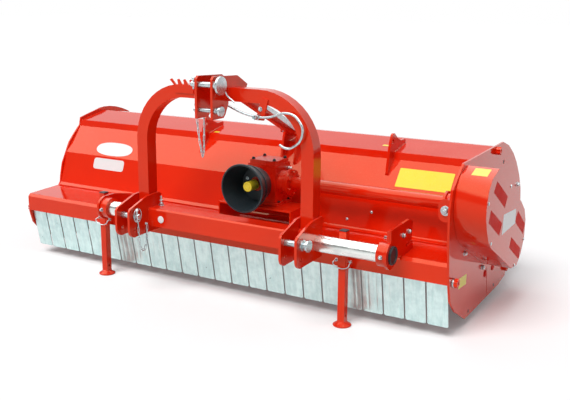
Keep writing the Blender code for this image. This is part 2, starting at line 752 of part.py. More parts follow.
output_neck = revolve("X", (GEARBOX_Y, DRIVE_Z), [(case_x1 - 0.004, 0), (case_x1 - 0.004, 0.056),
                      (neck_x - 0.014, 0.050), (neck_x - 0.012, DRIVE_FLANGE_R), (neck_x, DRIVE_FLANGE_R),
                      (neck_x, 0)], 24)
case = weld(case, foot, cover, input_neck, output_neck)
case = cut(case,
           box(case_x0 + CASE_WALL, case_x1 - CASE_WALL, case_y0 + CASE_WALL, case_y1 - CASE_WALL,
               case_z0 + CASE_WALL, CASE_TOP_Z),
           rod("Y", (GEARBOX_X, DRIVE_Z), PTO_R + RUN_GAP, neck_y - 0.010, case_y0 + CASE_WALL + 0.010),
           rod("X", (GEARBOX_Y, DRIVE_Z), DRIVE_SHAFT_R + RUN_GAP, case_x1 - CASE_WALL - 0.010, neck_x + 0.010))
place("gearbox_case", case, red_paint)

# Input shaft with its crown wheel, output shaft with its pinion
crown_heel = GEARBOX_Y - PINION_R
input_profile = [(PTO_TIP_Y, 0), (PTO_TIP_Y, PTO_R - 0.003), (PTO_TIP_Y + 0.004, PTO_R),
                 (crown_heel - 0.012, PTO_R), (crown_heel - 0.010, CROWN_R - RUN_GAP),
                 (crown_heel - RUN_GAP, CROWN_R - RUN_GAP),
                 (crown_heel + 0.006 - RUN_GAP, (CROWN_R - RUN_GAP) * 0.6), (crown_heel + 0.006 - RUN_GAP, 0)]
place("input_shaft", revolve("Y", (GEARBOX_X, DRIVE_Z), input_profile, 24), bright_steel,
      (GEARBOX_X, PTO_TIP_Y, DRIVE_Z))
pinion_heel = GEARBOX_X + CROWN_R + RUN_GAP
shaft_end = PULLEY_X + PULLEY_WIDE - 0.004
output_profile = [(pinion_heel - 0.018, 0), (pinion_heel - 0.018, PINION_R * 0.6), (pinion_heel, PINION_R),
                  (pinion_heel + 0.004, PINION_R), (pinion_heel + 0.006, DRIVE_SHAFT_R),
                  (shaft_end, DRIVE_SHAFT_R), (shaft_end, 0)]
place("output_shaft", revolve("X", (GEARBOX_Y, DRIVE_Z), output_profile, 24), bright_steel,
      (GEARBOX_X, GEARBOX_Y, DRIVE_Z))

# Guard round the input shaft and the cap on the shaft's end
guard_profile = [(GUARD_FRONT_Y, GUARD_R), (NECK_FRONT_Y - 0.028, GUARD_BACK_R + 0.007),
                 (NECK_FRONT_Y, GUARD_BACK_R), (NECK_FRONT_Y, PTO_R + 0.016),
                 (NECK_FRONT_Y - GUARD_WALL, PTO_R + 0.016),
                 (NECK_FRONT_Y - GUARD_WALL, GUARD_BACK_R - GUARD_WALL),
                 (NECK_FRONT_Y - 0.028, GUARD_BACK_R + 0.007 - GUARD_WALL),
                 (GUARD_FRONT_Y, GUARD_R - GUARD_WALL)]
place("pto_guard", revolve("Y", (GEARBOX_X, DRIVE_Z), guard_profile, 28, True), black_plastic)
cap_in = PTO_R + SEAT
cap_tip = PTO_TIP_Y - SEAT
cap_profile = [(cap_tip - CAP_WALL, 0), (cap_tip - CAP_WALL, CAP_R - 0.003), (cap_tip - CAP_WALL + 0.003, CAP_R),
               (cap_tip + CAP_LONG, CAP_R), (cap_tip + CAP_LONG, cap_in), (cap_tip, cap_in), (cap_tip, 0)]
place("pto_cap", revolve("Y", (GEARBOX_X, DRIVE_Z), cap_profile, 24), yellow_plastic,
      (GEARBOX_X, PTO_TIP_Y, DRIVE_Z))

# Drive tube from the gearbox to the right end plate
tube_x0 = neck_x + SEAT
tube_x1 = PLATE_IN - SEAT
seat_r = DRIVE_SHAFT_R + RUN_GAP
bore_r = DRIVE_TUBE_R - DRIVE_TUBE_WALL
tube_profile = [(tube_x0, DRIVE_FLANGE_R), (tube_x0 + DRIVE_FLANGE_THICK, DRIVE_FLANGE_R),
                (tube_x0 + DRIVE_FLANGE_THICK, DRIVE_TUBE_R), (tube_x1 - 0.090, DRIVE_TUBE_R),
                (tube_x1 - 0.088, 0.052), (tube_x1 - 0.078, 0.052), (tube_x1 - 0.076, 0.042),
                (tube_x1 - DRIVE_FLANGE_THICK, 0.042), (tube_x1 - DRIVE_FLANGE_THICK, DRIVE_FLANGE_R),
                (tube_x1, DRIVE_FLANGE_R), (tube_x1, seat_r), (tube_x1 - 0.030, seat_r),
                (tube_x1 - 0.032, bore_r), (tube_x0, bore_r)]
lug_x = PLATE_IN - LUG_BACK
lug_y = GEARBOX_Y - bore_r - 0.002
lug_outline = circle(lug_x, DRIVE_Z + LUG_HIGH / 2 - LUG_WIDE / 2 - LUG_LOW, LUG_WIDE / 2, 9, 0, 180)
lug_outline += circle(lug_x, DRIVE_Z - LUG_HIGH / 2 + LUG_WIDE / 2 - LUG_LOW, LUG_WIDE / 2, 9, 180, 360)
lug = prism("Y", lug_y - LUG_DEEP, lug_y, lug_outline)
drive_tube = revolve("X", (GEARBOX_Y, DRIVE_Z), tube_profile, 24, True)
place("drive_tube", weld(drive_tube, lug), red_paint)


# Belt drive: two pulleys, one wide belt and the cover
def pulley(radius, shaft_r, y, z):
    x0 = PULLEY_X
    x1 = PULLEY_X + PULLEY_WIDE
    rim = radius + PULLEY_LIP
    web0 = x0 + PULLEY_WIDE / 2 - 0.008
    web1 = x0 + PULLEY_WIDE / 2 + 0.008
    hub = shaft_r + 0.016
    inside = radius - 0.012
    profile = [(x0, rim), (x0 + PULLEY_RIM, rim), (x0 + PULLEY_RIM, radius), (x1 - PULLEY_RIM, radius),
               (x1 - PULLEY_RIM, rim), (x1, rim), (x1, inside), (web1, inside), (web1, hub), (x1 - 0.010, hub),
               (x1 - 0.010, shaft_r + SEAT), (web0, shaft_r + SEAT), (web0, inside), (x0, inside)]
    return revolve("X", (y, z), profile, 24, True)


place("drive_pulley", pulley(DRIVE_PULLEY_R, DRIVE_SHAFT_R, GEARBOX_Y, DRIVE_Z), bright_steel,
      (PULLEY_X, GEARBOX_Y, DRIVE_Z))
place("rotor_pulley", pulley(ROTOR_PULLEY_R, ROTOR_SHAFT_R, ROTOR_Y, ROTOR_Z), bright_steel,
      (PULLEY_X, ROTOR_Y, ROTOR_Z))


def belt_loop(extra):
    """Round both pulleys, clockwise seen from the right: front arc, then rear arc."""
    dy = ROTOR_Y - GEARBOX_Y
    dz = ROTOR_Z - DRIVE_Z
    line = math.degrees(math.atan2(dz, dy))
    swing = math.degrees(math.acos((DRIVE_PULLEY_R - ROTOR_PULLEY_R) / math.hypot(dy, dz)))
    front = circle(GEARBOX_Y, DRIVE_Z, DRIVE_PULLEY_R + extra, 20, line - swing, line + swing - 360)
    rear = circle(ROTOR_Y, ROTOR_Z, ROTOR_PULLEY_R + extra, 16, line + swing, line - swing)
    return front + rear


belt_x0 = PULLEY_X + PULLEY_RIM + RUN_GAP
belt_x1 = PULLEY_X + PULLEY_WIDE - PULLEY_RIM - RUN_GAP
belt = prism("X", belt_x0, belt_x1, belt_loop(RUN_GAP + BELT_THICK), belt_loop(RUN_GAP))
place("drive_belt", belt, black_rubber)

# The cover's outline goes clockwise from its front top
cover_outline = [
    (GEARBOX_Y - 0.043, DRIVE_Z + 0.180),
    (GEARBOX_Y - 0.132, DRIVE_Z + 0.152),
    (GEARBOX_Y - 0.173, DRIVE_Z + 0.107),
    (GEARBOX_Y - 0.190, DRIVE_Z + 0.053),
    (GEARBOX_Y - 0.188, DRIVE_Z + 0.001),
    (GEARBOX_Y - 0.165, DRIVE_Z - 0.055),
    (GEARBOX_Y - 0.129, DRIVE_Z - 0.112),
    (GEARBOX_Y - 0.091, DRIVE_Z - 0.143),
    (ROTOR_Y - 0.046, ROTOR_Z - 0.139),
    (ROTOR_Y + 0.042, ROTOR_Z - 0.148),
    (ROTOR_Y + 0.106, ROTOR_Z - 0.104),
    (ROTOR_Y + 0.144, ROTOR_Z - 0.040),
    (ROTOR_Y + 0.146, ROTOR_Z + 0.045),
    (ROTOR_Y + 0.114, ROTOR_Z + 0.100),
    (ROTOR_Y + 0.044, ROTOR_Z + 0.151),
]
cover_in = PLATE_OUT + SEAT
cover_out = PLATE_OUT + COVER_DEPTH
shell = prism("X", cover_in, cover_out, cover_outline)
hollow = prism("X", cover_in - 0.010, cover_out - COVER_WALL, inset_loop(cover_outline[::-1], COVER_WALL))
place("belt_cover", cut(shell, hollow), red_paint)

# Side-shift tube and its two holders
place("side_shift_tube", prism("X", TUBE_LEFT_X, TUBE_RIGHT_X, circle(TUBE_Y, TUBE_Z, TUBE_R, 24),
                               circle(TUBE_Y, TUBE_Z, TUBE_R - TUBE_WALL, 24)), bright_steel)


def along_x(side, start, length, outline):
    """A plate square to X that starts at one face and grows away from the tube's end."""
    stop = start - side * length
    return prism("X", min(start, stop), max(start, stop), outline)


def on_deck(y, lift=0.0):
    return (y, deck_z(y) + SEAT + lift)


def tube_holder(side, end_x, nose, *extras):
    """Ring, nose plate and foot; side is +1 at the right end."""
    nose_x = end_x - side * NOSE_SHOW
    inner = nose_x - side * NOSE_THICK / 2
    ring = along_x(side, inner, RING_LONG - NOSE_THICK / 2, circle(TUBE_Y, TUBE_Z, TUBE_R + RING_WALL, 24))
    foot_y = LIP_Y + DECK_BEND + 0.010
    foot = [on_deck(foot_y), on_deck(HOLDER_REAR_Y), on_deck(HOLDER_REAR_Y, HOLDER_FOOT_THICK),
            on_deck(foot_y, HOLDER_FOOT_THICK)]
    solid = weld(along_x(side, nose_x, NOSE_THICK, nose), ring, *extras,
                 along_x(side, nose_x - side * 0.001, HOLDER_FOOT, foot))
    bore = rod("X", (TUBE_Y, TUBE_Z), TUBE_R + SEAT, nose_x - 2 * RING_LONG, nose_x + 2 * RING_LONG, 24)
    return cut(solid, bore)


nose_r = TUBE_R + NOSE_WALL
seat_front = on_deck(LIP_Y + DECK_BEND, SEAT)
seat_rear = on_deck(HOLDER_REAR_Y, SEAT)
left_nose = circle(TUBE_Y, TUBE_Z, nose_r, 19, 82, 330) + [
    seat_front, seat_rear, (HOLDER_REAR_Y, TUBE_Z + 0.025), (TUBE_Y + 0.115, TUBE_Z + 0.050),
    (TUBE_Y + 0.052, TUBE_Z + nose_r + 0.0005)]
place("left_tube_holder", tube_holder(-1, TUBE_LEFT_X, left_nose), red_paint)

# The right holder has a taller cheek beside its nose plate, with a slit under its rear end
slit_y = HOLDER_REAR_Y - 0.076
slit_z = deck_z(slit_y) + 0.031
slit_rise = slit_z + 0.012
right_nose = circle(TUBE_Y, TUBE_Z, nose_r, 19, 104, 330) + [
    seat_front, seat_rear, (HOLDER_REAR_Y, slit_rise - SLIT), (slit_y + 0.006, slit_z - SLIT),
    (slit_y, slit_z - SLIT / 2), (slit_y - 0.005, TUBE_Z + 0.0295), (TUBE_Y - 0.015, TUBE_Z + 0.1055)]
cheek = along_x(1, TUBE_RIGHT_X - NOSE_SHOW - CHEEK_BACK, CHEEK_THICK, [
    (TUBE_Y - 0.018, TUBE_Z + 0.1015), (TUBE_Y - 0.014, TUBE_Z + 0.030), (TUBE_Y + 0.060, TUBE_Z),
    (slit_y, slit_z), (HOLDER_REAR_Y, slit_rise),
    (HOLDER_REAR_Y + 0.003, TUBE_Z + 0.0945), (TUBE_Y + 0.190, TUBE_Z + 0.1105)])
place("right_tube_holder", tube_holder(1, TUBE_RIGHT_X, right_nose, cheek), red_paint)

# Cross beam with the four clevis plates, sliding on the tube
pair_half = (CLEVIS_GAP + CLEVIS_THICK) / 2
pair_x = [HITCH_X - LOWER_SPAN / 2, HITCH_X + LOWER_SPAN / 2]
clevis_x = [pair_x[0] - pair_half, pair_x[0] + pair_half, pair_x[1] - pair_half, pair_x[1] + pair_half]
beam_section = [
    (BEAM_FRONT_Y, BEAM_BOTTOM_Z),
    (HITCH_REAR_Y, BEAM_BOTTOM_Z),
    (HITCH_REAR_Y, BEAM_TOP_Z),
    (BEAM_FRONT_Y + BEAM_CORNER, BEAM_TOP_Z),
    (BEAM_FRONT_Y, BEAM_TOP_Z - BEAM_CORNER),
]
between_section = [
    (BEAM_FRONT_Y + 0.008, BEAM_BOTTOM_Z - 0.004),
    (HITCH_REAR_Y, BEAM_BOTTOM_Z - 0.004),
    (HITCH_REAR_Y, ARCH_FOOT_Z - SEAT),
    (BEAM_FRONT_Y + 0.018, ARCH_FOOT_Z - SEAT),
    (BEAM_FRONT_Y + 0.008, ARCH_FOOT_Z - 0.012),
]
nose_low = CLEVIS_BOTTOM_Z + 0.038
clevis_section = circle(CLEVIS_NOSE_Y + 0.038, nose_low, 0.038, 9, 180, 285) + [
    (HITCH_REAR_Y, CLEVIS_BOTTOM_Z + 0.006),
    (HITCH_REAR_Y, LEG_TOP_Z + 0.012),
    (HITCH_REAR_Y + 0.015, CLEVIS_TOP_Z - 0.012),
    (HITCH_REAR_Y - 0.006, CLEVIS_TOP_Z),
    (ARCH_FRONT_Y - 0.028, CLEVIS_TOP_Z - 0.004),
    (CLEVIS_NOSE_Y + 0.012, LOWER_PIN_Z + 0.040),
    (CLEVIS_NOSE_Y, LOWER_PIN_Z + 0.026),
]
beam = prism("X", clevis_x[1], clevis_x[2], beam_section)
inner_left = prism("X", clevis_x[0], clevis_x[1], between_section)
inner_right = prism("X", clevis_x[2], clevis_x[3], between_section)
plates = [prism("X", x - CLEVIS_THICK / 2, x + CLEVIS_THICK / 2, clevis_section) for x in clevis_x]
span = (clevis_x[0] - 0.05, clevis_x[3] + 0.05)
cross_beam = weld(merge(*plates), beam, inner_left, inner_right)
cross_beam = cut(cross_beam,
                 rod("X", (TUBE_Y, TUBE_Z), TUBE_R + RUN_GAP, *span, 24),
                 rod("X", (LOWER_PIN_Y, LOWER_PIN_Z), LOWER_PIN_R + RUN_GAP, *span, 16),
                 rod("X", (LOWER_PIN_Y, nose_low), 0.008, *span, 12))
place("cross_beam", cross_beam, red_paint)

# Arch: a rectangular tube bent over the gearbox, with the top link's plates and the hose comb
leg_half = LOWER_SPAN / 2 + ARCH_WIDE / 2
turn_z = ARCH_TOP_Z - ARCH_R
turn_x = leg_half - ARCH_R
inner_r = ARCH_R - ARCH_WIDE
outer = [(HITCH_X + leg_half, ARCH_FOOT_Z)] + circle(HITCH_X + turn_x, turn_z, ARCH_R, 12, 0, 90)
outer += circle(HITCH_X - turn_x, turn_z, ARCH_R, 12, 90, 180) + [(HITCH_X - leg_half, ARCH_FOOT_Z)]
inner = [(HITCH_X - leg_half + ARCH_WIDE, ARCH_FOOT_Z)]
inner += circle(HITCH_X - turn_x, turn_z, inner_r, 12, 180, 90)
inner += circle(HITCH_X + turn_x, turn_z, inner_r, 12, 90, 0)
inner += [(HITCH_X + leg_half - ARCH_WIDE, ARCH_FOOT_Z)]
arch = prism("Y", ARCH_FRONT_Y, ARCH_REAR_Y, outer + inner)
mast_top = ARCH_TOP_Z + MAST_RISE
mast_bottom = ARCH_TOP_Z - MAST_DROP
top_pin_z = ARCH_TOP_Z + TOP_PIN_RISE
spare_pin_z = ARCH_TOP_Z - SPARE_PIN_DROP
mast_section = [
    (MAST_FRONT_Y, mast_bottom),
    (MAST_FRONT_Y, mast_top - 0.014),
    (MAST_FRONT_Y + 0.014, mast_top),
    (ARCH_REAR_Y + 0.008, mast_top - 0.006),
    (ARCH_REAR_Y + 0.050, ARCH_TOP_Z + 0.026),
    (ARCH_REAR_Y + 0.090, ARCH_TOP_Z + 0.004),
    (ARCH_REAR_Y + 0.080, ARCH_TOP_Z - 0.014),
    (ARCH_FRONT_Y + 0.002, ARCH_TOP_Z - 0.014),
    (ARCH_FRONT_Y + 0.002, ARCH_TOP_Z - ARCH_WIDE - 0.012),
    (ARCH_FRONT_Y - 0.022, mast_bottom + 0.014),
    (ARCH_FRONT_Y - 0.036, mast_bottom),
]
mast_x = [HITCH_X - (MAST_GAP + MAST_THICK) / 2, HITCH_X + (MAST_GAP + MAST_THICK) / 2]
top_hole = circle(TOP_PIN_Y, top_pin_z, TOP_PIN_R + RUN_GAP, 16)
spare_hole = circle(TOP_PIN_Y, spare_pin_z, SPARE_PIN_R + RUN_GAP, 16)
mast_plates = [prism("X", x - MAST_THICK / 2, x + MAST_THICK / 2, mast_section, top_hole, spare_hole)
               for x in mast_x]
comb_top = ARCH_TOP_Z + COMB_RISE
comb_root = ARCH_TOP_Z - ARCH_WIDE * 2 / 3
comb = [(COMB_X + 0.029, comb_root), (COMB_X + 0.029, comb_top - 0.034),
        (COMB_X, comb_top - 0.006), (COMB_X + 0.012, comb_top)]
for k in range(3):
    foot_x = COMB_X + 0.038 + COMB_STEP * k
    comb += [(foot_x, comb_top - 0.028), (foot_x + 0.010, comb_top - 0.028),
             (foot_x + 0.004, comb_top - 0.004), (foot_x + 0.014, comb_top)]
comb_end = COMB_X + 0.030 + COMB_STEP * 3
comb += [(comb_end, comb_top - 0.032), (comb_end, comb_root)]
comb = prism("Y", ARCH_FRONT_Y - COMB_THICK + 0.001, ARCH_FRONT_Y + 0.001, comb)
hook_z = ARCH_TOP_Z - HOOK_DROP
hook_y = ARCH_FRONT_Y - 0.020
hook_ear = prism("Y", ARCH_FRONT_Y - 0.008, ARCH_FRONT_Y + 0.001,
                 [(HOOK_X - 0.020, hook_z - 0.016), (HOOK_X + 0.020, hook_z - 0.016),
                  (HOOK_X + 0.042, ARCH_TOP_Z - 0.040), (HOOK_X + 0.010, ARCH_TOP_Z - 0.034)])
place("mast_arch", weld(arch, *mast_plates, comb, hook_ear), red_paint)


# Hitch pins: a shank with a flat head, some with a neck that keeps the head off the plate
def pin(radius, head_r, neck_r, neck_x, head_x, tip_x, y, z):
    side = 1 if head_x > tip_x else -1
    under = head_x - side * PIN_HEAD_THICK
    profile = [(head_x, 0), (head_x, head_r), (under, head_r)]
    if neck_r:
        profile += [(under, radius), (neck_x + side * PIN_HEAD_THICK, radius),
                    (neck_x + side * PIN_HEAD_THICK, neck_r), (neck_x, neck_r)]
    profile += [(neck_x, radius), (tip_x + side * 0.003, radius), (tip_x, radius - 0.003), (tip_x, 0)]
    return revolve("X", (y, z), profile, 16)


right_face = clevis_x[3] + CLEVIS_THICK / 2 + SEAT
left_face = clevis_x[0] - CLEVIS_THICK / 2 - SEAT
mast_face = mast_x[1] + MAST_THICK / 2 + SEAT
left_head = left_face - PIN_HEAD_THICK
place("left_lower_pin", pin(LOWER_PIN_R, PIN_HEAD_R, 0, left_face, left_head, clevis_x[1] + 0.032,
                            LOWER_PIN_Y, LOWER_PIN_Z), bright_steel, (left_head, LOWER_PIN_Y, LOWER_PIN_Z))
right_head = right_face + PIN_REACH
place("right_lower_pin", pin(LOWER_PIN_R, PIN_HEAD_R, PIN_HEAD_R - 0.002, right_face, right_head,
                             clevis_x[2] - 0.022, LOWER_PIN_Y, LOWER_PIN_Z), bright_steel,
      (right_head, LOWER_PIN_Y, LOWER_PIN_Z))
top_head = mast_face + TOP_PIN_REACH
place("top_pin", pin(TOP_PIN_R, TOP_HEAD_R, TOP_PIN_R + 0.006, mast_face, top_head, mast_x[0] - 0.036,
                     TOP_PIN_Y, top_pin_z), bright_steel, (top_head, TOP_PIN_Y, top_pin_z))
place("spare_pin", pin(SPARE_PIN_R, SPARE_HEAD_R, SPARE_PIN_R + 0.005, mast_face, top_head, mast_x[0] - 0.024,
                       TOP_PIN_Y, spare_pin_z), bright_steel, (top_head, TOP_PIN_Y, spare_pin_z))

# Hose hook: a bent spring wire that turns on the ear under the crown
hook_line = [(-0.150, 0.038), (-0.077, 0.012), (0.000, 0.000), (0.061, 0.004), (0.123, 0.025), (0.174, 0.020),
             (0.209, -0.013), (0.219, -0.047), (0.206, -0.088), (0.166, -0.119), (0.135, -0.122), (0.109, -0.110)]
wire = sweep([(HOOK_X + x, hook_y, hook_z + z) for x, z in hook_line], HOOK_R, 8)
hub = rod("Y", (HOOK_X, hook_z), 0.011, hook_y - 0.009, ARCH_FRONT_Y - 0.008 - SEAT, 16)
place("hose_hook", weld(wire, hub), zinc_plate, (HOOK_X, hook_y, hook_z))

# Stay: a bar from behind the crown to the hood's bracket, with its pin and front flange
stay_front_z = ARCH_TOP_Z - STAY_FRONT_DROP
flange_y0 = ARCH_REAR_Y + SEAT
flange_y1 = flange_y0 + STAY_FLANGE
slope = (stay_front_z - stay_pin_z) / (stay_pin_y - flange_y0)
rise = STAY_HIGH / 2 * math.hypot(1, slope)
turn = math.degrees(math.atan(slope))
bar = [(flange_y1 - 0.001, stay_front_z - rise), (flange_y1 - 0.001, stay_front_z + rise - 0.006),
       (flange_y1 + 0.010, stay_front_z + rise - slope * 0.010 - 0.004)]
bar += circle(stay_pin_y, stay_pin_z, STAY_HIGH / 2, 9, 90 - turn, -90 - turn)
bar = prism("X", STAY_X - STAY_WIDE / 2, STAY_X + STAY_WIDE / 2, bar)
flange = box(STAY_X - 0.028, STAY_X + 0.080, flange_y0, flange_y1,
             stay_front_z - 0.016, stay_front_z + 0.014)
pin_half = STAY_BRACKET_GAP / 2 + RIB_THICK + 0.024
eye = rod("X", (stay_pin_y, stay_pin_z), STAY_HIGH / 2, STAY_X - STAY_BRACKET_GAP / 2 + RUN_GAP,
          STAY_X + STAY_BRACKET_GAP / 2 - RUN_GAP, 24)
cross_pin = rod("X", (stay_pin_y, stay_pin_z), STAY_PIN_R, STAY_X - pin_half, STAY_X + pin_half, 16)
place("mast_stay", weld(bar, flange, eye, cross_pin), red_paint)

# Galvanised rod beside the stay, from the flange to the end of the stay's pin
rod_x0 = STAY_X + STAY_BRACKET_GAP / 2 + RIB_THICK + RUN_GAP
rod_x1 = rod_x0 + 0.010
rod_x = (rod_x0 + rod_x1) / 2
link_y = flange_y1 + SEAT
link = prism("X", rod_x0, rod_x1,
             [(link_y, stay_front_z - 0.008), (link_y, stay_front_z + 0.004)]
             + circle(stay_pin_y, stay_pin_z, STAY_PIN_R + 0.009, 9, 90 - turn, -90 - turn),
             circle(stay_pin_y, stay_pin_z, STAY_PIN_R + SEAT, 16))
place("stay_rod", link, zinc_plate)


# Stand legs: a square bar on a round foot
def stand_leg(x):
    half = LEG_SIDE / 2
    bar = box(x - half, x + half, LEG_Y - half, LEG_Y + half, FOOT_THICK / 2, LEG_TOP_Z)
    foot = revolve("Z", (x, LEG_Y), [(0, 0), (0, FOOT_R - 0.003), (0.003, FOOT_R), (FOOT_THICK, FOOT_R),
                                     (FOOT_THICK + FOOT_CONE, half * 0.9), (FOOT_THICK + FOOT_CONE, 0)], 24)
    hole = rod("X", (LEG_Y, FOOT_THICK + FOOT_CONE + 0.025), 0.006, x - LEG_SIDE, x + LEG_SIDE, 12)
    return cut(weld(bar, foot), hole)


place("left_stand_leg", stand_leg(LEG_LEFT_X), red_paint, (LEG_LEFT_X, LEG_Y, 0.0))
place("right_stand_leg", stand_leg(LEG_RIGHT_X), red_paint, (LEG_RIGHT_X, LEG_Y, 0.0))

# The frame's origin is the middle of the machine's outline, on the ground
bpy.context.view_layer.update()
corners = [obj.matrix_world @ v.co for obj in placed for v in obj.data.vertices]
low = [min(c[i] for c in corners) for i in range(3)]
high = [max(c[i] for c in corners) for i in range(3)]
root.location = (-(low[0] + high[0]) / 2, -(low[1] + high[1]) / 2, -low[2])
bpy.context.view_layer.update()
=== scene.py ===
import math

import bmesh
import bpy
from mathutils import Matrix, Vector


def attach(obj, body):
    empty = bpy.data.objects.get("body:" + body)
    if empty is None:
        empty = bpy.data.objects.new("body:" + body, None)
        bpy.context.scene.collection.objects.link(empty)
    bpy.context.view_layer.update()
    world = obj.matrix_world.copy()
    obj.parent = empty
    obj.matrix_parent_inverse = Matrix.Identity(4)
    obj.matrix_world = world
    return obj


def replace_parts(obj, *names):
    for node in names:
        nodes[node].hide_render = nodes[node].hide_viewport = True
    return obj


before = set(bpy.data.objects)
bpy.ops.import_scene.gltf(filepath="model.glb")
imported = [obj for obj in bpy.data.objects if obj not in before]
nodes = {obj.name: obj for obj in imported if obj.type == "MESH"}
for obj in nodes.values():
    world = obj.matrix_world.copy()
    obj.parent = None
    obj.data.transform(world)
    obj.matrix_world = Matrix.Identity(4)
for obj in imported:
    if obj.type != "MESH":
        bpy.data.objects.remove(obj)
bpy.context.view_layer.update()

# Places are written in the machine's drawing frame, and this shift moves them into the shared frame
SHIFT = Vector((-0.04685, -0.325, 0.0))


def at(x, y, z):
    return Vector((x, y, z)) + SHIFT


# Lines and faces that several pieces share, in the drawing frame
GEARBOX_X = 0.236
GEARBOX_Y = 0.120
DRIVE_Z = 0.560
CASE_TOP_Z = 0.6631
ROTOR_Y = 0.425
ROTOR_Z = 0.375
TUBE_Z = 0.3775
ROD_Y = -0.0281
ROD_Z = 0.2641
PLATE_X = 1.2120
COVER_X = 1.3461
HOOK_X = 0.372
HOOK_Z = 0.905
LEG_Y = -0.093
TO_RIGHT = (1, 0, 0)
TO_LEFT = (-1, 0, 0)
TO_FRONT = (0, -1, 0)
TO_BACK = (0, 1, 0)
UPWARD = (0, 0, 1)

# Pieces laid on a face start this far off it
SKIN = 0.0001


def axes(x, y, z, spot):
    """A frame with its origin at a spot and its axes along x, y and z."""
    return Matrix((
        (x.x, y.x, z.x, spot.x),
        (x.y, y.y, z.y, spot.y),
        (x.z, y.z, z.z, spot.z),
        (0, 0, 0, 1)))


# Camera at the photograph's angle
def place_camera():
    az, el, roll = math.radians(30.17), math.radians(13.35), math.radians(0.56)
    back = Vector((math.sin(az) * math.cos(el), -math.cos(az) * math.cos(el), math.sin(el)))
    right = (-back).cross(Vector((0, 0, 1))).normalized()
    up = right.cross(-back)
    side = right * math.cos(roll) + up * math.sin(roll)
    top = up * math.cos(roll) - right * math.sin(roll)
    data = bpy.data.cameras.new("camera")
    data.sensor_width = 36.0
    data.lens = 52.23
    camera = bpy.data.objects.new("camera", data)
    bpy.context.scene.collection.objects.link(camera)
    spot = Vector((2.19445, -3.5037, 1.3765))
    camera.matrix_world = axes(side, top, back, spot)
    bpy.context.scene.camera = camera


place_camera()


# Node helpers
class Graph:
    """A node tree with short ways to add nodes and link sockets."""

    def __init__(self, tree):
        self.tree = tree

    def add(self, kind, **settings):
        node = self.tree.nodes.new(kind)
        for key, value in settings.items():
            setattr(node, key, value)
        return node

    def link(self, a, b):
        self.tree.links.new(a, b)

    def math(self, operation, a, b, clamp=False):
        node = self.add("ShaderNodeMath", operation=operation, use_clamp=clamp)
        for socket, value in zip(node.inputs, (a, b)):
            if isinstance(value, (int, float)):
                socket.default_value = value
            else:
                self.link(value, socket)
        return node.outputs[0]

    def ramp(self, value, low, high, out_low=0.0, out_high=1.0):
        node = self.add("ShaderNodeMapRange", interpolation_type="SMOOTHSTEP")
        self.link(value, node.inputs[0])
        for socket, number in zip(node.inputs[1:5], (low, high, out_low, out_high)):
            socket.default_value = number
        return node.outputs[0]

    def noise(self, vector, scale, detail, rough):
        node = self.add("ShaderNodeTexNoise")
        node.inputs["Scale"].default_value = scale
        node.inputs["Detail"].default_value = detail
        node.inputs["Roughness"].default_value = rough
        self.link(vector, node.inputs["Vector"])
        return node.outputs["Fac"]

    def stretch(self, vector, scale):
        node = self.add("ShaderNodeMapping")
        node.inputs["Scale"].default_value = scale
        self.link(vector, node.inputs["Vector"])
        return node.outputs[0]

    def mix(self, factor, a, b):
        node = self.add("ShaderNodeMix", data_type="RGBA")
        self.link(factor, node.inputs[0])
        for socket, value in ((node.inputs[6], a), (node.inputs[7], b)):
            if isinstance(value, tuple):
                socket.default_value = (*value, 1.0)
            else:
                self.link(value, socket)
        return node.outputs[2]


def group(name, inputs, outputs):
    tree = bpy.data.node_groups.new(name, "ShaderNodeTree")
    for title, kind, value in inputs:
        socket = tree.interface.new_socket(title, in_out="INPUT", socket_type=kind)
        socket.default_value = value
    for title, kind in outputs:
        tree.interface.new_socket(title, in_out="OUTPUT", socket_type=kind)
    graph = Graph(tree)
    return graph, graph.add("NodeGroupInput"), graph.add("NodeGroupOutput")


def use_group(graph, name, **inputs):
    """Places a group and sets its inputs, with _ for a space in their names."""
    node = graph.add("ShaderNodeGroup", node_tree=bpy.data.node_groups[name])
    for key, value in inputs.items():
        socket = node.inputs[key.replace("_", " ")]
        if isinstance(value, tuple):
            socket.default_value = value if socket.type == "VECTOR" else (*value, 1.0)
        else:
            socket.default_value = value
    return node


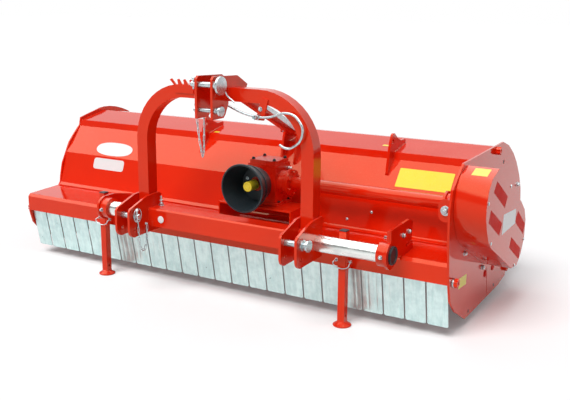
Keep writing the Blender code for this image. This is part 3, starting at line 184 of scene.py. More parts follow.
# Paint surface: slow tone drift, orange peel, fine dust on upward faces and rubbed metal low down
def make_paint_group():
    graph, inp, out = group(
        "paint_surface",
        [("Fresh", "NodeSocketColor", (1, 1, 1, 1)), ("Deep", "NodeSocketColor", (1, 1, 1, 1)),
         ("Peel", "NodeSocketFloat", 0.02), ("Dust", "NodeSocketFloat", 0.1),
         ("Sheen low", "NodeSocketFloat", 0.08), ("Sheen high", "NodeSocketFloat", 0.18),
         ("Wear", "NodeSocketFloat", 0.0)],
        [("Color", "NodeSocketColor"), ("Roughness", "NodeSocketFloat"), ("Normal", "NodeSocketVector"),
         ("Rubbed", "NodeSocketFloat")])
    place = graph.add("ShaderNodeTexCoord").outputs["Object"]
    drift = graph.noise(place, 2.3, 3.0, 0.55)
    cloud = graph.ramp(drift, 0.30, 0.72)
    tone = graph.mix(cloud, inp.outputs["Deep"], inp.outputs["Fresh"])
    facing = graph.add("ShaderNodeNewGeometry").outputs["Normal"]
    split = graph.add("ShaderNodeSeparateXYZ")
    graph.link(facing, split.inputs[0])
    upward = graph.ramp(split.outputs["Z"], 0.35, 0.95)
    grit = graph.ramp(graph.noise(place, 140.0, 4.0, 0.65), 0.50, 0.78)
    dust = graph.math("MULTIPLY", graph.math("MULTIPLY", upward, grit), inp.outputs["Dust"], True)
    dusty = graph.mix(dust, tone, (0.62, 0.36, 0.28))
    level = graph.add("ShaderNodeSeparateXYZ")
    graph.link(place, level.inputs[0])
    low = graph.ramp(level.outputs["Z"], 0.035, 0.075, 1.0, 0.0)
    scuff = graph.ramp(graph.noise(graph.stretch(place, (60.0, 9.0, 90.0)), 1.0, 5.0, 0.7), 0.52, 0.60)
    rubbed = graph.math("MULTIPLY", graph.math("MULTIPLY", low, scuff), inp.outputs["Wear"], True)
    graph.link(rubbed, out.inputs["Rubbed"])
    graph.link(graph.mix(rubbed, dusty, (0.36, 0.34, 0.32)), out.inputs["Color"])
    smear = graph.ramp(graph.noise(place, 9.0, 4.0, 0.6), 0.3, 0.75)
    span = graph.math("SUBTRACT", inp.outputs["Sheen high"], inp.outputs["Sheen low"])
    sheen = graph.math("ADD", inp.outputs["Sheen low"], graph.math("MULTIPLY", smear, span))
    worn = graph.math("ADD", dust, graph.math("MULTIPLY", rubbed, 0.3))
    graph.link(graph.math("ADD", sheen, graph.math("MULTIPLY", worn, 0.6), True), out.inputs["Roughness"])
    peel = graph.noise(place, 260.0, 2.0, 0.4)
    wave = graph.noise(place, 7.0, 1.0, 0.3)
    height = graph.math("ADD", peel, graph.math("MULTIPLY", wave, 5.0))
    bump = graph.add("ShaderNodeBump")
    bump.inputs["Distance"].default_value = 0.001
    graph.link(inp.outputs["Peel"], bump.inputs["Strength"])
    graph.link(height, bump.inputs["Height"])
    graph.link(bump.outputs[0], out.inputs["Normal"])


# Metal surface: streaks along one axis, blotches, fine scratches
def make_metal_group():
    graph, inp, out = group(
        "metal_surface",
        [("Light", "NodeSocketColor", (1, 1, 1, 1)), ("Dark", "NodeSocketColor", (1, 1, 1, 1)),
         ("Streak", "NodeSocketVector", (1, 1, 1)), ("Rough low", "NodeSocketFloat", 0.2),
         ("Rough high", "NodeSocketFloat", 0.4), ("Relief", "NodeSocketFloat", 0.1)],
        [("Color", "NodeSocketColor"), ("Roughness", "NodeSocketFloat"), ("Normal", "NodeSocketVector")])
    place = graph.add("ShaderNodeTexCoord").outputs["Object"]
    scaled = graph.add("ShaderNodeVectorMath", operation="MULTIPLY")
    graph.link(place, scaled.inputs[0])
    graph.link(inp.outputs["Streak"], scaled.inputs[1])
    lines = graph.noise(scaled.outputs[0], 1.0, 5.0, 0.6)
    blotch = graph.noise(place, 28.0, 4.0, 0.55)
    both = graph.math("MULTIPLY", graph.math("ADD", lines, blotch), 0.5)
    mask = graph.ramp(both, 0.36, 0.64)
    graph.link(graph.mix(mask, inp.outputs["Dark"], inp.outputs["Light"]), out.inputs["Color"])
    span = graph.math("SUBTRACT", inp.outputs["Rough high"], inp.outputs["Rough low"])
    rough = graph.math("ADD", inp.outputs["Rough low"], graph.math("MULTIPLY", blotch, span))
    graph.link(rough, out.inputs["Roughness"])
    bump = graph.add("ShaderNodeBump")
    bump.inputs["Distance"].default_value = 0.0006
    graph.link(inp.outputs["Relief"], bump.inputs["Strength"])
    graph.link(graph.math("ADD", lines, graph.math("MULTIPLY", blotch, 0.5)), bump.inputs["Height"])
    graph.link(bump.outputs[0], out.inputs["Normal"])


make_paint_group()
make_metal_group()


def surface(name, group_name, metallic, specular, **inputs):
    """A material from a surface group. Enamel shows bare metal where it is rubbed."""
    mat = bpy.data.materials.new(name)
    mat.use_nodes = True
    graph = Graph(mat.node_tree)
    shader = mat.node_tree.nodes["Principled BSDF"]
    shader.inputs["Metallic"].default_value = metallic
    shader.inputs["Specular IOR Level"].default_value = specular
    skin = use_group(graph, group_name, **inputs)
    graph.link(skin.outputs["Color"], shader.inputs["Base Color"])
    graph.link(skin.outputs["Roughness"], shader.inputs["Roughness"])
    graph.link(skin.outputs["Normal"], shader.inputs["Normal"])
    if "enamel" in name:
        graph.link(skin.outputs["Rubbed"], shader.inputs["Metallic"])
    return mat


red = surface("red_enamel", "paint_surface", 0.0, 0.5, Fresh=(0.76, 0.020, 0.002), Deep=(0.70, 0.014, 0.002),
              Peel=0.04, Dust=0.10, Sheen_low=0.05, Sheen_high=0.12, Wear=0.7)
frame_red = surface("red_frame_enamel", "paint_surface", 0.0, 0.5, Fresh=(0.74, 0.018, 0.002),
                    Deep=(0.66, 0.013, 0.002), Peel=0.06, Dust=0.12, Sheen_low=0.08, Sheen_high=0.18)
cast_red = surface("red_casting_enamel", "paint_surface", 0.0, 0.4, Fresh=(0.76, 0.022, 0.004),
                   Deep=(0.64, 0.012, 0.003), Peel=0.45, Dust=0.3, Sheen_low=0.22, Sheen_high=0.42)
dull_red = surface("dull_dark_red", "paint_surface", 0.0, 0.2, Fresh=(0.70, 0.014, 0.004),
                   Deep=(0.62, 0.010, 0.004), Peel=0.10, Dust=0.1, Sheen_low=0.60, Sheen_high=0.80)
WARM_SHINE = (1.0, 0.80, 0.46, 1.0)
for warm in (red, frame_red, cast_red):
    warm.node_tree.nodes["Principled BSDF"].inputs["Specular Tint"].default_value = WARM_SHINE
galvanised = surface("galvanised_sheet", "metal_surface", 0.72, 0.5, Light=(0.70, 0.88, 0.86),
                     Dark=(0.53, 0.71, 0.70), Streak=(46.0, 46.0, 2.0), Rough_low=0.22, Rough_high=0.42,
                     Relief=0.02)
zinc = surface("zinc_plating", "metal_surface", 0.9, 0.5,
               Light=(0.60, 0.67, 0.68), Dark=(0.40, 0.46, 0.48),
               Streak=(90.0, 90.0, 90.0), Rough_low=0.16, Rough_high=0.36, Relief=0.15)
chrome = surface("bright_bar", "metal_surface", 1.0, 0.5,
                 Light=(0.86, 0.89, 0.86), Dark=(0.66, 0.70, 0.68),
                 Streak=(6.0, 140.0, 140.0), Rough_low=0.16, Rough_high=0.34, Relief=0.06)
steel = surface("machined_steel", "metal_surface", 1.0, 0.5,
                Light=(0.46, 0.46, 0.45), Dark=(0.26, 0.25, 0.24),
                Streak=(40.0, 160.0, 160.0), Rough_low=0.25, Rough_high=0.55, Relief=0.3)
black = surface("black_plastic_moulded", "paint_surface", 0.0, 0.35, Fresh=(0.020, 0.030, 0.036),
                Deep=(0.010, 0.015, 0.018), Peel=0.25, Dust=0.05, Sheen_low=0.32, Sheen_high=0.46)
yellow = surface("yellow_plastic_moulded", "paint_surface", 0.0, 0.5, Fresh=(0.84, 0.66, 0.03),
                 Deep=(0.72, 0.52, 0.02), Peel=0.2, Dust=0.1, Sheen_low=0.22, Sheen_high=0.36)
primer = surface("dark_primer", "paint_surface", 0.0, 0.3, Fresh=(0.030, 0.030, 0.032),
                 Deep=(0.018, 0.018, 0.020), Peel=0.5, Dust=0.15, Sheen_low=0.50, Sheen_high=0.75)
rubber = surface("belt_rubber", "paint_surface", 0.0, 0.3, Fresh=(0.020, 0.020, 0.020),
                 Deep=(0.010, 0.010, 0.010), Peel=0.9, Dust=0.2, Sheen_low=0.45, Sheen_high=0.70)
white_film = surface("white_film", "paint_surface", 0.0, 0.4, Fresh=(0.82, 0.82, 0.81),
                     Deep=(0.74, 0.74, 0.74), Peel=0.04, Dust=0.12, Sheen_low=0.20, Sheen_high=0.30)
yellow_film = surface("yellow_film", "paint_surface", 0.0, 0.4, Fresh=(0.82, 0.75, 0.05),
                      Deep=(0.76, 0.66, 0.03), Peel=0.04, Dust=0.12, Sheen_low=0.20, Sheen_high=0.30)


# Shades edges smooth where they turn less than an angle, and drops the normals stored in the mesh
def make_smoothing(name, degrees):
    tree = bpy.data.node_groups.new(name, "GeometryNodeTree")
    tree.interface.new_socket("Geometry", in_out="INPUT", socket_type="NodeSocketGeometry")
    tree.interface.new_socket("Geometry", in_out="OUTPUT", socket_type="NodeSocketGeometry")
    nodes_in = tree.nodes.new("NodeGroupInput")
    nodes_out = tree.nodes.new("NodeGroupOutput")
    turn = tree.nodes.new("GeometryNodeInputMeshEdgeAngle")
    small = tree.nodes.new("FunctionNodeCompare")
    small.data_type = "FLOAT"
    small.operation = "LESS_EQUAL"
    small.inputs[1].default_value = math.radians(degrees)
    edges = tree.nodes.new("GeometryNodeSetShadeSmooth")
    edges.domain = "EDGE"
    faces = tree.nodes.new("GeometryNodeSetShadeSmooth")
    faces.domain = "FACE"
    tree.links.new(turn.outputs["Unsigned Angle"], small.inputs[0])
    plain = tree.nodes.new("GeometryNodeRemoveAttribute")
    plain.inputs["Name"].default_value = "custom_normal"
    tree.links.new(nodes_in.outputs[0], plain.inputs["Geometry"])
    tree.links.new(plain.outputs[0], edges.inputs["Geometry"])
    tree.links.new(small.outputs[0], edges.inputs["Shade Smooth"])
    tree.links.new(edges.outputs[0], faces.inputs["Geometry"])
    faces.inputs["Shade Smooth"].default_value = True
    tree.links.new(faces.outputs[0], nodes_out.inputs[0])
    return tree


round_turns = make_smoothing("smooth_round_turns", 33)
sheet_turns = make_smoothing("smooth_sheet_turns", 14)
MERGE_DISTANCE = 0.00002
SHARP_EDGE = math.radians(34)


def soften(obj, width, turns=round_turns):
    """Rounds the sharp edges by a width and smooths the turns that curved faces are made of."""
    if obj.name in nodes:
        weld = obj.modifiers.new("joined_corners", "WELD")
        weld.merge_threshold = MERGE_DISTANCE
    if width:
        bevel = obj.modifiers.new("rounded_edges", "BEVEL")
        bevel.width = width
        bevel.segments = 2
        bevel.limit_method = "ANGLE"
        bevel.angle_limit = SHARP_EDGE
        bevel.use_clamp_overlap = True
    shade = obj.modifiers.new(turns.name, "NODES")
    shade.node_group = turns
    flat = obj.modifiers.new("flat_faces_stay_flat", "WEIGHTED_NORMAL")
    flat.keep_sharp = True


def dress(name, mat):
    mesh = nodes[name].data
    mesh.materials.clear()
    mesh.materials.append(mat)


finishes = {
    "side_shift_tube": chrome, "left_lower_pin": zinc, "right_lower_pin": zinc, "top_pin": zinc,
    "spare_pin": zinc, "flap_rod": zinc, "stay_rod": zinc, "hose_hook": zinc, "pto_guard": black,
    "pto_cap": yellow, "drive_belt": rubber, "input_shaft": steel, "output_shaft": steel,
    "drive_pulley": steel, "rotor_pulley": steel, "rotor": primer, "gearbox_case": cast_red,
    "left_rotor_bearing": cast_red, "right_rotor_bearing": cast_red, "mast_arch": frame_red,
    "cross_beam": frame_red, "mast_stay": frame_red, "left_tube_holder": frame_red,
    "right_tube_holder": frame_red, "left_stand_leg": frame_red, "right_stand_leg": frame_red,
    "drive_tube": frame_red}
FLAP_COUNT = 24
NORMAL_EDGE = 0.0014
THIN_EDGE = 0.0008
flap_names = ["flap_%02d" % (k + 1) for k in range(FLAP_COUNT)]
for name in nodes:
    if name in flap_names:
        dress(name, galvanised)
        continue
    dress(name, finishes.get(name, red))
    edge = THIN_EDGE if name in ("pto_guard", "hose_hook", "drive_belt") else NORMAL_EDGE
    soften(nodes[name], edge, sheet_turns if name in ("hood_shell", "front_deck") else round_turns)


# Building pieces in mesh
class Shape:
    """Collects closed bodies in one mesh, in the machine's own frame."""

    def __init__(self):
        self.bm = bmesh.new()

    def loops(self, rings, closed=False):
        """Skins a row of equal rings of points, with flat ends unless it closes on itself."""
        made = [[self.bm.verts.new(p) for p in ring] for ring in rings]
        count = len(made[0])
        pairs = list(zip(made, made[1:]))
        if closed:
            pairs.append((made[-1], made[0]))
        for a, b in pairs:
            for i in range(count):
                j = (i + 1) % count
                self.bm.faces.new((a[i], a[j], b[j], b[i]))
        if not closed:
            self.bm.faces.new(list(reversed(made[0])))
            self.bm.faces.new(made[-1])

    def lathe(self, frame_matrix, profile, segments):
        """Turns (radius, height) pairs about the frame's own Z."""
        rings = []
        for radius, height in profile:
            ring = []
            for k in range(segments):
                turn = 2 * math.pi * k / segments
                spot = Vector((radius * math.cos(turn), radius * math.sin(turn), height))
                ring.append(frame_matrix @ spot)
            rings.append(ring)
        self.loops(rings)

    def slab(self, frame_matrix, outline, layers):
        """Stacks an outline at (inset scale, height) layers."""
        rings = []
        for scale, height in layers:
            rings.append([frame_matrix @ Vector((u * scale, v * scale, height)) for u, v in outline])
        self.loops(rings)

    def wire(self, points, radius, segments, closed=False, ripple=0.0):
        """A round wire through points, kept from twisting."""
        count = len(points)
        rings = []
        side = None
        for k, point in enumerate(points):
            before = points[k - 1] if k or closed else point
            after = points[(k + 1) % count] if k < count - 1 or closed else point
            along = (after - before).normalized()
            if side is None:
                side = along.orthogonal().normalized()
            side = (side - along * side.dot(along)).normalized()
            other = along.cross(side)
            size = radius * (1 + ripple * math.sin(k * 1.9))
            ring = []
            for i in range(segments):
                turn = 2 * math.pi * i / segments
                ring.append(point + side * (size * math.cos(turn)) + other * (size * math.sin(turn)))
            rings.append(ring)
        self.loops(rings, closed)

    def done(self, name, mat, body, bevel=0.0):
        """Makes the object, which rides on a body and takes its colour from a slot."""
        bmesh.ops.recalc_face_normals(self.bm, faces=self.bm.faces[:])
        mesh = bpy.data.meshes.new(name)
        self.bm.to_mesh(mesh)
        self.bm.free()
        mesh.materials.append(mat)
        obj = bpy.data.objects.new(name, mesh)
        bpy.context.scene.collection.objects.link(obj)
        soften(obj, bevel)
        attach(obj, body)
        return obj


def toward(spot, direction, turn=0.0):
    """A frame at a spot with its Z along a direction."""
    z = Vector(direction).normalized()
    x = Vector((0, 0, 1)) if abs(z.z) < 0.9 else Vector((0, 1, 0))
    x = (x - z * x.dot(z)).normalized()
    y = z.cross(x)
    return axes(x, y, z, spot) @ Matrix.Rotation(math.radians(turn), 4, "Z")


def on_circle(count, radius, first=0.0):
    """Points spaced evenly on a circle, from an angle in degrees on."""
    turns = [math.radians(first + 360 / count * k) for k in range(count)]
    return [(radius * math.cos(turn), radius * math.sin(turn)) for turn in turns]


def rounded(width, height, radius, steps=6):
    """The outline of a rectangle with rounded corners."""
    outline = []
    for cx, cy, first in ((1, 1, 0), (-1, 1, 90), (-1, -1, 180), (1, -1, 270)):
        for k in range(steps + 1):
            turn = math.radians(first + 90 * k / steps)
            outline.append((cx * (width / 2 - radius) + radius * math.cos(turn),
                            cy * (height / 2 - radius) + radius * math.sin(turn)))
    return outline


def bolt(shape, spot, direction, across, high, washer, turn=12.0):
    """A washer, unless its radius is 0, and a hexagon head with a chamfer and a small raised disc."""
    base = toward(spot, direction, turn)
    if washer:
        shape.lathe(base, [(washer, SKIN), (washer, 0.0016), (washer - 0.0005, 0.0021)], 24)
    lift = 0.0022 if washer else SKIN
    layers = [(0.97, lift), (1.0, lift + 0.0006), (1.0, lift + high * 0.72), (0.93, lift + high * 0.9),
              (0.80, lift + high)]
    shape.slab(base, on_circle(6, across / math.sqrt(3)), layers)
    shape.lathe(base, [(across * 0.22, lift + high * 0.9), (across * 0.22, lift + high * 1.12),
                       (across * 0.16, lift + high * 1.25)], 16)


def signed_power(value, power):
    """Raises the size of a value to a power and keeps its sign."""
    return math.copysign(abs(value) ** power, value)


def castle(shape, spot, direction, radius, high):
    """A low knob with six rounded lobes round its rim and a sunk middle."""
    lobes = 6
    corners = lobes * 8
    outline = []
    for k in range(corners):
        turn = 2 * math.pi * k / corners
        reach = radius * (0.90 + 0.10 * signed_power(math.cos(lobes * turn), 0.5))
        outline.append((reach * math.cos(turn), reach * math.sin(turn)))
    layers = [(1.0, 0.0002), (1.0, high * 0.8), (0.92, high), (0.55, high), (0.45, high * 0.7)]
    shape.slab(toward(spot, direction), outline, layers)


def link_outline(half, bend):
    """The middle line of an oval chain link, in its own plane."""
    steps = 5
    points = []
    for side in (1, -1):
        for k in range(steps + 1):
            turn = math.radians(-90 + 180 * k / steps)
            points.append((side * (half + bend * math.cos(turn)), side * bend * math.sin(turn)))
    return points


CHAIN_WIRE = 0.0018
CHAIN_PITCH = 0.0250


def chain(shape, points):
    """Oval links along a line, each turned a quarter from the last."""
    lengths = [0.0]
    for a, b in zip(points, points[1:]):
        lengths.append(lengths[-1] + (b - a).length)
    count = max(2, int(round(lengths[-1] / CHAIN_PITCH)))

    def walk(s):
        s = min(max(s, 0.0), lengths[-1])
        for k in range(len(points) - 1):
            if s <= lengths[k + 1] or k == len(points) - 2:
                share = (s - lengths[k]) / (lengths[k + 1] - lengths[k])
                return points[k].lerp(points[k + 1], share)

    step = lengths[-1] / count
    for k in range(count):
        a = walk(step * k)
        b = walk(step * (k + 1))
        along = (b - a).normalized()
        side = along.cross(Vector((0.31, 0.87, 0.38))).normalized()
        if k % 2:
            side = along.cross(side).normalized()
        middle = (a + b) / 2
        outline = link_outline(step * 0.5 - 0.0016, CHAIN_WIRE * 2.2)
        ring = [middle + along * u + side * v for u, v in outline]
        shape.wire(ring, CHAIN_WIRE, 6, True)


def hanging(a, b, drop):
    """A slack line between two points that falls by drop below the lower one."""
    steps = 24
    low = min(a.z, b.z) - drop
    points = []
    for k in range(steps + 1):
        s = k / steps
        level = a.z + (b.z - a.z) * s
        sag = (level - low) * (1 - (2 * s - 1) ** 4)
        points.append(Vector((a.x + (b.x - a.x) * s, a.y + (b.y - a.y) * s, level - sag)))
    return points


def ring_line(centre, u, v, radius_u, radius_v):
    """A closed oval line about a centre, with its radii along u and v."""
    steps = 28
    points = []
    for k in range(steps):
        turn = math.radians(360 * k / steps)
        points.append(centre + u * (radius_u * math.cos(turn)) + v * (radius_v * math.sin(turn)))
    return points


FILM_THICK = 0.0004


def film(name, centre, across, up, outline, mat):
    """A thin film laid on a flat face: across and up are directions in the face."""
    across = Vector(across).normalized()
    up = Vector(up).normalized()
    out = across.cross(up).normalized()
    shape = Shape()
    layers = [(1.0, SKIN), (1.0, FILM_THICK * 0.7), (0.995, FILM_THICK)]
    shape.slab(axes(across, up, out, centre), outline, layers)
    shape.done(name, mat, "housing")


# Flaps: a sheet rolled round the rod, with two pressed grooves and lower corners turned back a little
KNUCKLE = 0.0113
KNUCKLE_THICK = 0.0036
KNUCKLE_SWEEP = 295
FLAP_THICK = 0.004
FLAP_LONG = 0.2157
FLAP_HALF = 0.0466
LEAN = math.radians(10.5)
FLAP_PITCH = 0.1
WORK_HALF = 1.2

# The grooves fade out over PRESS_FADE, from PRESS_TOP and PRESS_FOOT off the ends of the sheet
PRESS_TOP = 0.018
PRESS_FOOT = 0.012
PRESS_FADE = 0.014
GROOVE_PLACE = 0.019
GROOVE_HALF = 0.0065
GROOVE_DEEP = 0.0016

# The turned corners begin CORNER_INSIDE from the middle line and CORNER_HIGH above the lower edge
CORNER_INSIDE = 0.0420
CORNER_HIGH = 0.020
CORNER_TURN = 1.1
BOW = 0.0004


def flap_stations():
    """Rows of front point, back point, press and way down, from the lower edge up and round the rod."""
    down_dir = (math.sin(LEAN), -math.cos(LEAN))
    back_dir = (math.cos(LEAN), math.sin(LEAN))

    def plane(down, back):
        deep = back - KNUCKLE
        return (back_dir[0] * deep + down_dir[0] * down, back_dir[1] * deep + down_dir[1] * down)

    stations = []
    sheet_steps = 18
    for k in range(sheet_steps + 1):
        down = FLAP_LONG * (1 - k / sheet_steps)
        from_top = min(1.0, max(0.0, (down - PRESS_TOP) / PRESS_FADE))
        from_foot = min(1.0, max(0.0, (FLAP_LONG - PRESS_FOOT - down) / PRESS_FADE))
        stations.append((plane(down, 0.0), plane(down, FLAP_THICK), from_top * from_foot, down))
    inner = KNUCKLE - KNUCKLE_THICK
    first = 180 + math.degrees(LEAN)
    roll_steps = 16
    for k in range(1, roll_steps + 1):
        turn = math.radians(first - KNUCKLE_SWEEP * k / roll_steps)
        out = (math.cos(turn), math.sin(turn))
        stations.append(((out[0] * KNUCKLE, out[1] * KNUCKLE), (out[0] * inner, out[1] * inner), 0.0, 0.0))
    return stations


def groove(u):
    """How deep the press is at a place across the flap."""
    depth = 0.0
    for middle in (-GROOVE_PLACE, GROOVE_PLACE):
        near = abs(u - middle) / GROOVE_HALF
        if near < 1:
            depth += GROOVE_DEEP * (1 + math.cos(math.pi * near)) / 2
    return depth


def make_flap(node, middle, bow):
    """A flap sheet in place of a node, slightly bowed so that no two shine alike."""
    stations = flap_stations()
    left = [-FLAP_HALF, -0.0450, -0.040, -0.030, -0.0255, -0.0222, -0.019, -0.0158, -0.0125, -0.006]
    columns = left + [0.0] + [-u for u in reversed(left)]
    out_y = -math.cos(LEAN)
    out_z = -math.sin(LEAN)
    shape = Shape()
    rings = []
    for u in columns:
        corner = max(0.0, abs(u) - CORNER_INSIDE)
        front_line = []
        back_line = []
        for front, back, press, down in stations:
            sink = groove(u) * press - bow * press * (1 - (u / FLAP_HALF) ** 2)
            lift = corner * CORNER_TURN * max(0.0, (down - (FLAP_LONG - CORNER_HIGH)) / CORNER_HIGH)
            shift_y = -out_y * sink + lift * -math.sin(LEAN)
            shift_z = -out_z * sink + lift * math.cos(LEAN)
            shift = Vector((0, shift_y, shift_z))
            front_line.append(at(middle + u, ROD_Y + front[0], ROD_Z + front[1]) + shift)
            back_line.append(at(middle + u, ROD_Y + back[0], ROD_Z + back[1]) + shift)
        rings.append(front_line + list(reversed(back_line)))
    shape.loops(rings)
    piece = shape.done(node + "_sheet", galvanised, node, 0.0007)
    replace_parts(piece, node)


for k, node in enumerate(flap_names):
    make_flap(node, -WORK_HALF + FLAP_PITCH * (k + 0.5), BOW * math.sin((k + 1) * 2.7))


# Weld beads beside the hood's ribs
def rib_welds():
    section = [(0.302, 0.6096), (0.3595, 0.6760), (0.3705, 0.7085), (0.430, 0.7208), (0.492, 0.7335)]
    shape = Shape()
    for x in (-0.295, 0.195, 0.270, 0.761):
        for side in (-0.0075, 0.0075):
            points = []
            for (y0, z0), (y1, z1) in zip(section, section[1:]):
                steps = max(2, int(math.hypot(y1 - y0, z1 - z0) / 0.006))
                for k in range(steps):
                    share = k / steps
                    points.append(at(x + side, y0 + (y1 - y0) * share, z0 + (z1 - z0) * share))
            shape.wire(points, 0.0022, 6, False, 0.16)
    shape.done("rib_welds", red, "housing")


rib_welds()


# Bolts, discs, plugs and knobs on the end plates, and the seam of the right skid
def plate_fixings():
    shape = Shape()
    for y, z in ((0.1080, 0.3560), (0.3790, 0.2190), (0.8950, 0.5110)):
        bolt(shape, at(PLATE_X, y, z), TO_RIGHT, 0.018, 0.010, 0.0125, 8 + y * 90)
    shape.done("right_plate_bolts", zinc, "housing")
    shape = Shape()
    for y, z in ((0.5545, 0.1715), (0.4380, 0.1715)):
        profile = [(0.017, SKIN), (0.017, 0.0022), (0.0155, 0.0032), (0.006, 0.0034), (0.004, 0.0024)]
        shape.lathe(toward(at(PLATE_X, y, z), TO_RIGHT), profile, 28)
    shape.done("right_plate_discs", dull_red, "housing")
    shape = Shape()
    for y, z in ((0.5935, 0.0710), (0.2150, 0.0600), (0.6195, 0.6690)):
        profile = [(0.0075, SKIN), (0.0075, 0.0006), (0.0062, 0.0009)]
        shape.lathe(toward(at(PLATE_X, y, z), TO_RIGHT), profile, 20)
    shape.done("right_plate_plugs", black, "housing")
    shape = Shape()
    castle(shape, at(1.2224, ROD_Y, ROD_Z), TO_RIGHT, 0.0205, 0.016)
    castle(shape, at(PLATE_X + SKIN, 0.4900, 0.7400), TO_RIGHT, 0.0185, 0.022)
    castle(shape, at(PLATE_X + SKIN, 0.7700, 0.1100), TO_RIGHT, 0.0165, 0.016)
    shape.done("right_plate_knobs", red, "housing")
    shape = Shape()
    castle(shape, at(-1.2224, ROD_Y, ROD_Z), TO_LEFT, 0.019, 0.007)
    shape.done("left_plate_knob", red, "housing")
    shape = Shape()
    steps = 24
    points = [at(1.2124, 0.4564 + 0.0311 * k / steps, 0.1982 - 0.142 * k / steps) for k in range(steps + 1)]
    shape.wire(points, 0.0007, 6, False, 0.10)
    shape.done("skid_seam_weld", red, "housing")


plate_fixings()


def bore_shade_disc():
    """A black disc with a raised rim in the right end of the side-shift tube, painted shade that stands in
    for the dark bore.
    """
    shape = Shape()
    profile = [(0.0395, 0.0), (0.0395, 0.0085), (0.0375, 0.0105), (0.0330, 0.0105), (0.0310, 0.0085),
               (0.0300, 0.0064), (0.0100, 0.0060)]
    shape.lathe(toward(at(0.9924, -0.155, TUBE_Z), TO_RIGHT), profile, 40)
    shape.done("tube_plug_right", black, "housing")


bore_shade_disc()


def belt_cover_fixings():
    shape = Shape()
    for y, z in ((-0.050, 0.620), (0.020, 0.440), (0.420, 0.240), (0.556, 0.330), (0.270, 0.632)):
        bolt(shape, at(COVER_X, y, z), TO_RIGHT, 0.013, 0.0035, 0.0, 20 + y * 200)
    shape.done("belt_cover_bolts", zinc, "housing")


belt_cover_fixings()


# Films and patches. The first four values are directions up the faces that carry them.
UPPER_FACET = (0.0, 0.12 / 0.18250, 0.1375 / 0.18250)
LOWER_FACET = (0.0, 0.056 / 0.17519, 0.166 / 0.17519)
HOOD_TOP = (0, 0.9805, 0.1971)
COVER_TOP = (0, 0.954, 0.300)


def oval(half_wide, half_high):
    """An oval a little squarer than an ellipse."""
    outline = []
    for k in range(48):
        turn = 2 * math.pi * k / 48
        outline.append((half_wide * signed_power(math.cos(turn), 0.85),
                        half_high * signed_power(math.sin(turn), 0.85)))
    return outline


film("hood_film_oval", at(-0.868, 0.2734, 0.5771), TO_RIGHT, UPPER_FACET, oval(0.127, 0.0425), white_film)
film("hood_film_strip", at(-0.873, 0.2262, 0.4985), TO_RIGHT, LOWER_FACET,
     rounded(0.216, 0.062, 0.016), white_film)
film("hood_film_yellow", at(0.948, 0.2991, 0.6066), TO_RIGHT, UPPER_FACET,
     rounded(0.262, 0.100, 0.004), yellow_film)
film("plate_film_yellow", at(PLATE_X + SKIN, 0.1050, 0.2300), (0, 0.999, -0.055), (0, 0.055, 0.999),
     rounded(0.104, 0.046, 0.003), yellow_film)
film("cover_film_white", at(COVER_X, 0.2830, 0.4800), TO_BACK, UPWARD,
     [(-0.106, -0.042), (0.103, -0.035), (0.100, 0.031), (-0.096, 0.045)], white_film)
# Four slanted bars on the belt cover: matte dark red films laid as painted shade, standing in for the shaded
# insides of recessed slots
SLOT_SHADE_CORNERS = (((0.056, 0.692), (0.017, 0.652), (0.194, 0.553), (0.228, 0.596)),
                 ((-0.007, 0.585), (-0.029, 0.537), (0.139, 0.444), (0.169, 0.492)),
                 ((0.421, 0.491), (0.378, 0.453), (0.541, 0.357), (0.560, 0.402)),
                 ((0.337, 0.391), (0.315, 0.348), (0.495, 0.248), (0.512, 0.296)))
for k, corners in enumerate(SLOT_SHADE_CORNERS):
    centre_y = sum(c[0] for c in corners) / 4
    centre_z = sum(c[1] for c in corners) / 4
    film("cover_panel_%d" % (k + 1), at(COVER_X, centre_y, centre_z), TO_BACK, UPWARD,
         [(y - centre_y, z - centre_z) for y, z in corners], dull_red)
film("cover_film_yellow", at(1.2860, 0.0309, 0.7259), TO_RIGHT, COVER_TOP,
     rounded(0.066, 0.062, 0.003), yellow_film)
dot = rounded(0.030, 0.018, 0.002)
film("hood_dot_left", at(-0.2554, 0.3928, 0.7128), TO_RIGHT, HOOD_TOP, dot, yellow_film)
film("hood_dot_right", at(0.6930, 0.4402, 0.7222), TO_RIGHT, HOOD_TOP, dot, yellow_film)


# Screws in the hood, bolts in the deck and bolts of the tube holders
DECK_Y = -0.040
DECK_Z = 0.346
DECK_SLOPE = 0.042857


def holder_fixings():
    shape = Shape()
    hood_normal = (0, -LOWER_FACET[2], LOWER_FACET[1])
    for x, y, z in ((0.6160, 0.1943, 0.4025), (0.7326, 0.2091, 0.4464)):
        profile = [(0.0065, 0.0002), (0.0065, 0.0016), (0.0045, 0.0030), (0.0020, 0.0032)]
        shape.lathe(toward(at(x, y, z), hood_normal), profile, 20)
    for x, y in ((0.8322, 0.150), (-0.6562, 0.131)):
        z = DECK_Z + DECK_SLOPE * (y - DECK_Y)
        bolt(shape, at(x, y, z), (0, -0.043, 1), 0.013, 0.007, 0.010)
    for y, z in ((-0.0264, 0.4305), (0.0400, 0.4341)):
        bolt(shape, at(0.9861, y, z), TO_RIGHT, 0.017, 0.008, 0.012, y * 400)
    for x in (-0.534, 0.963):
        bolt(shape, at(x, -0.2056, TUBE_Z), TO_FRONT, 0.013, 0.009, 0.009)
    shape.done("holder_bolts", zinc, "housing")


holder_fixings()


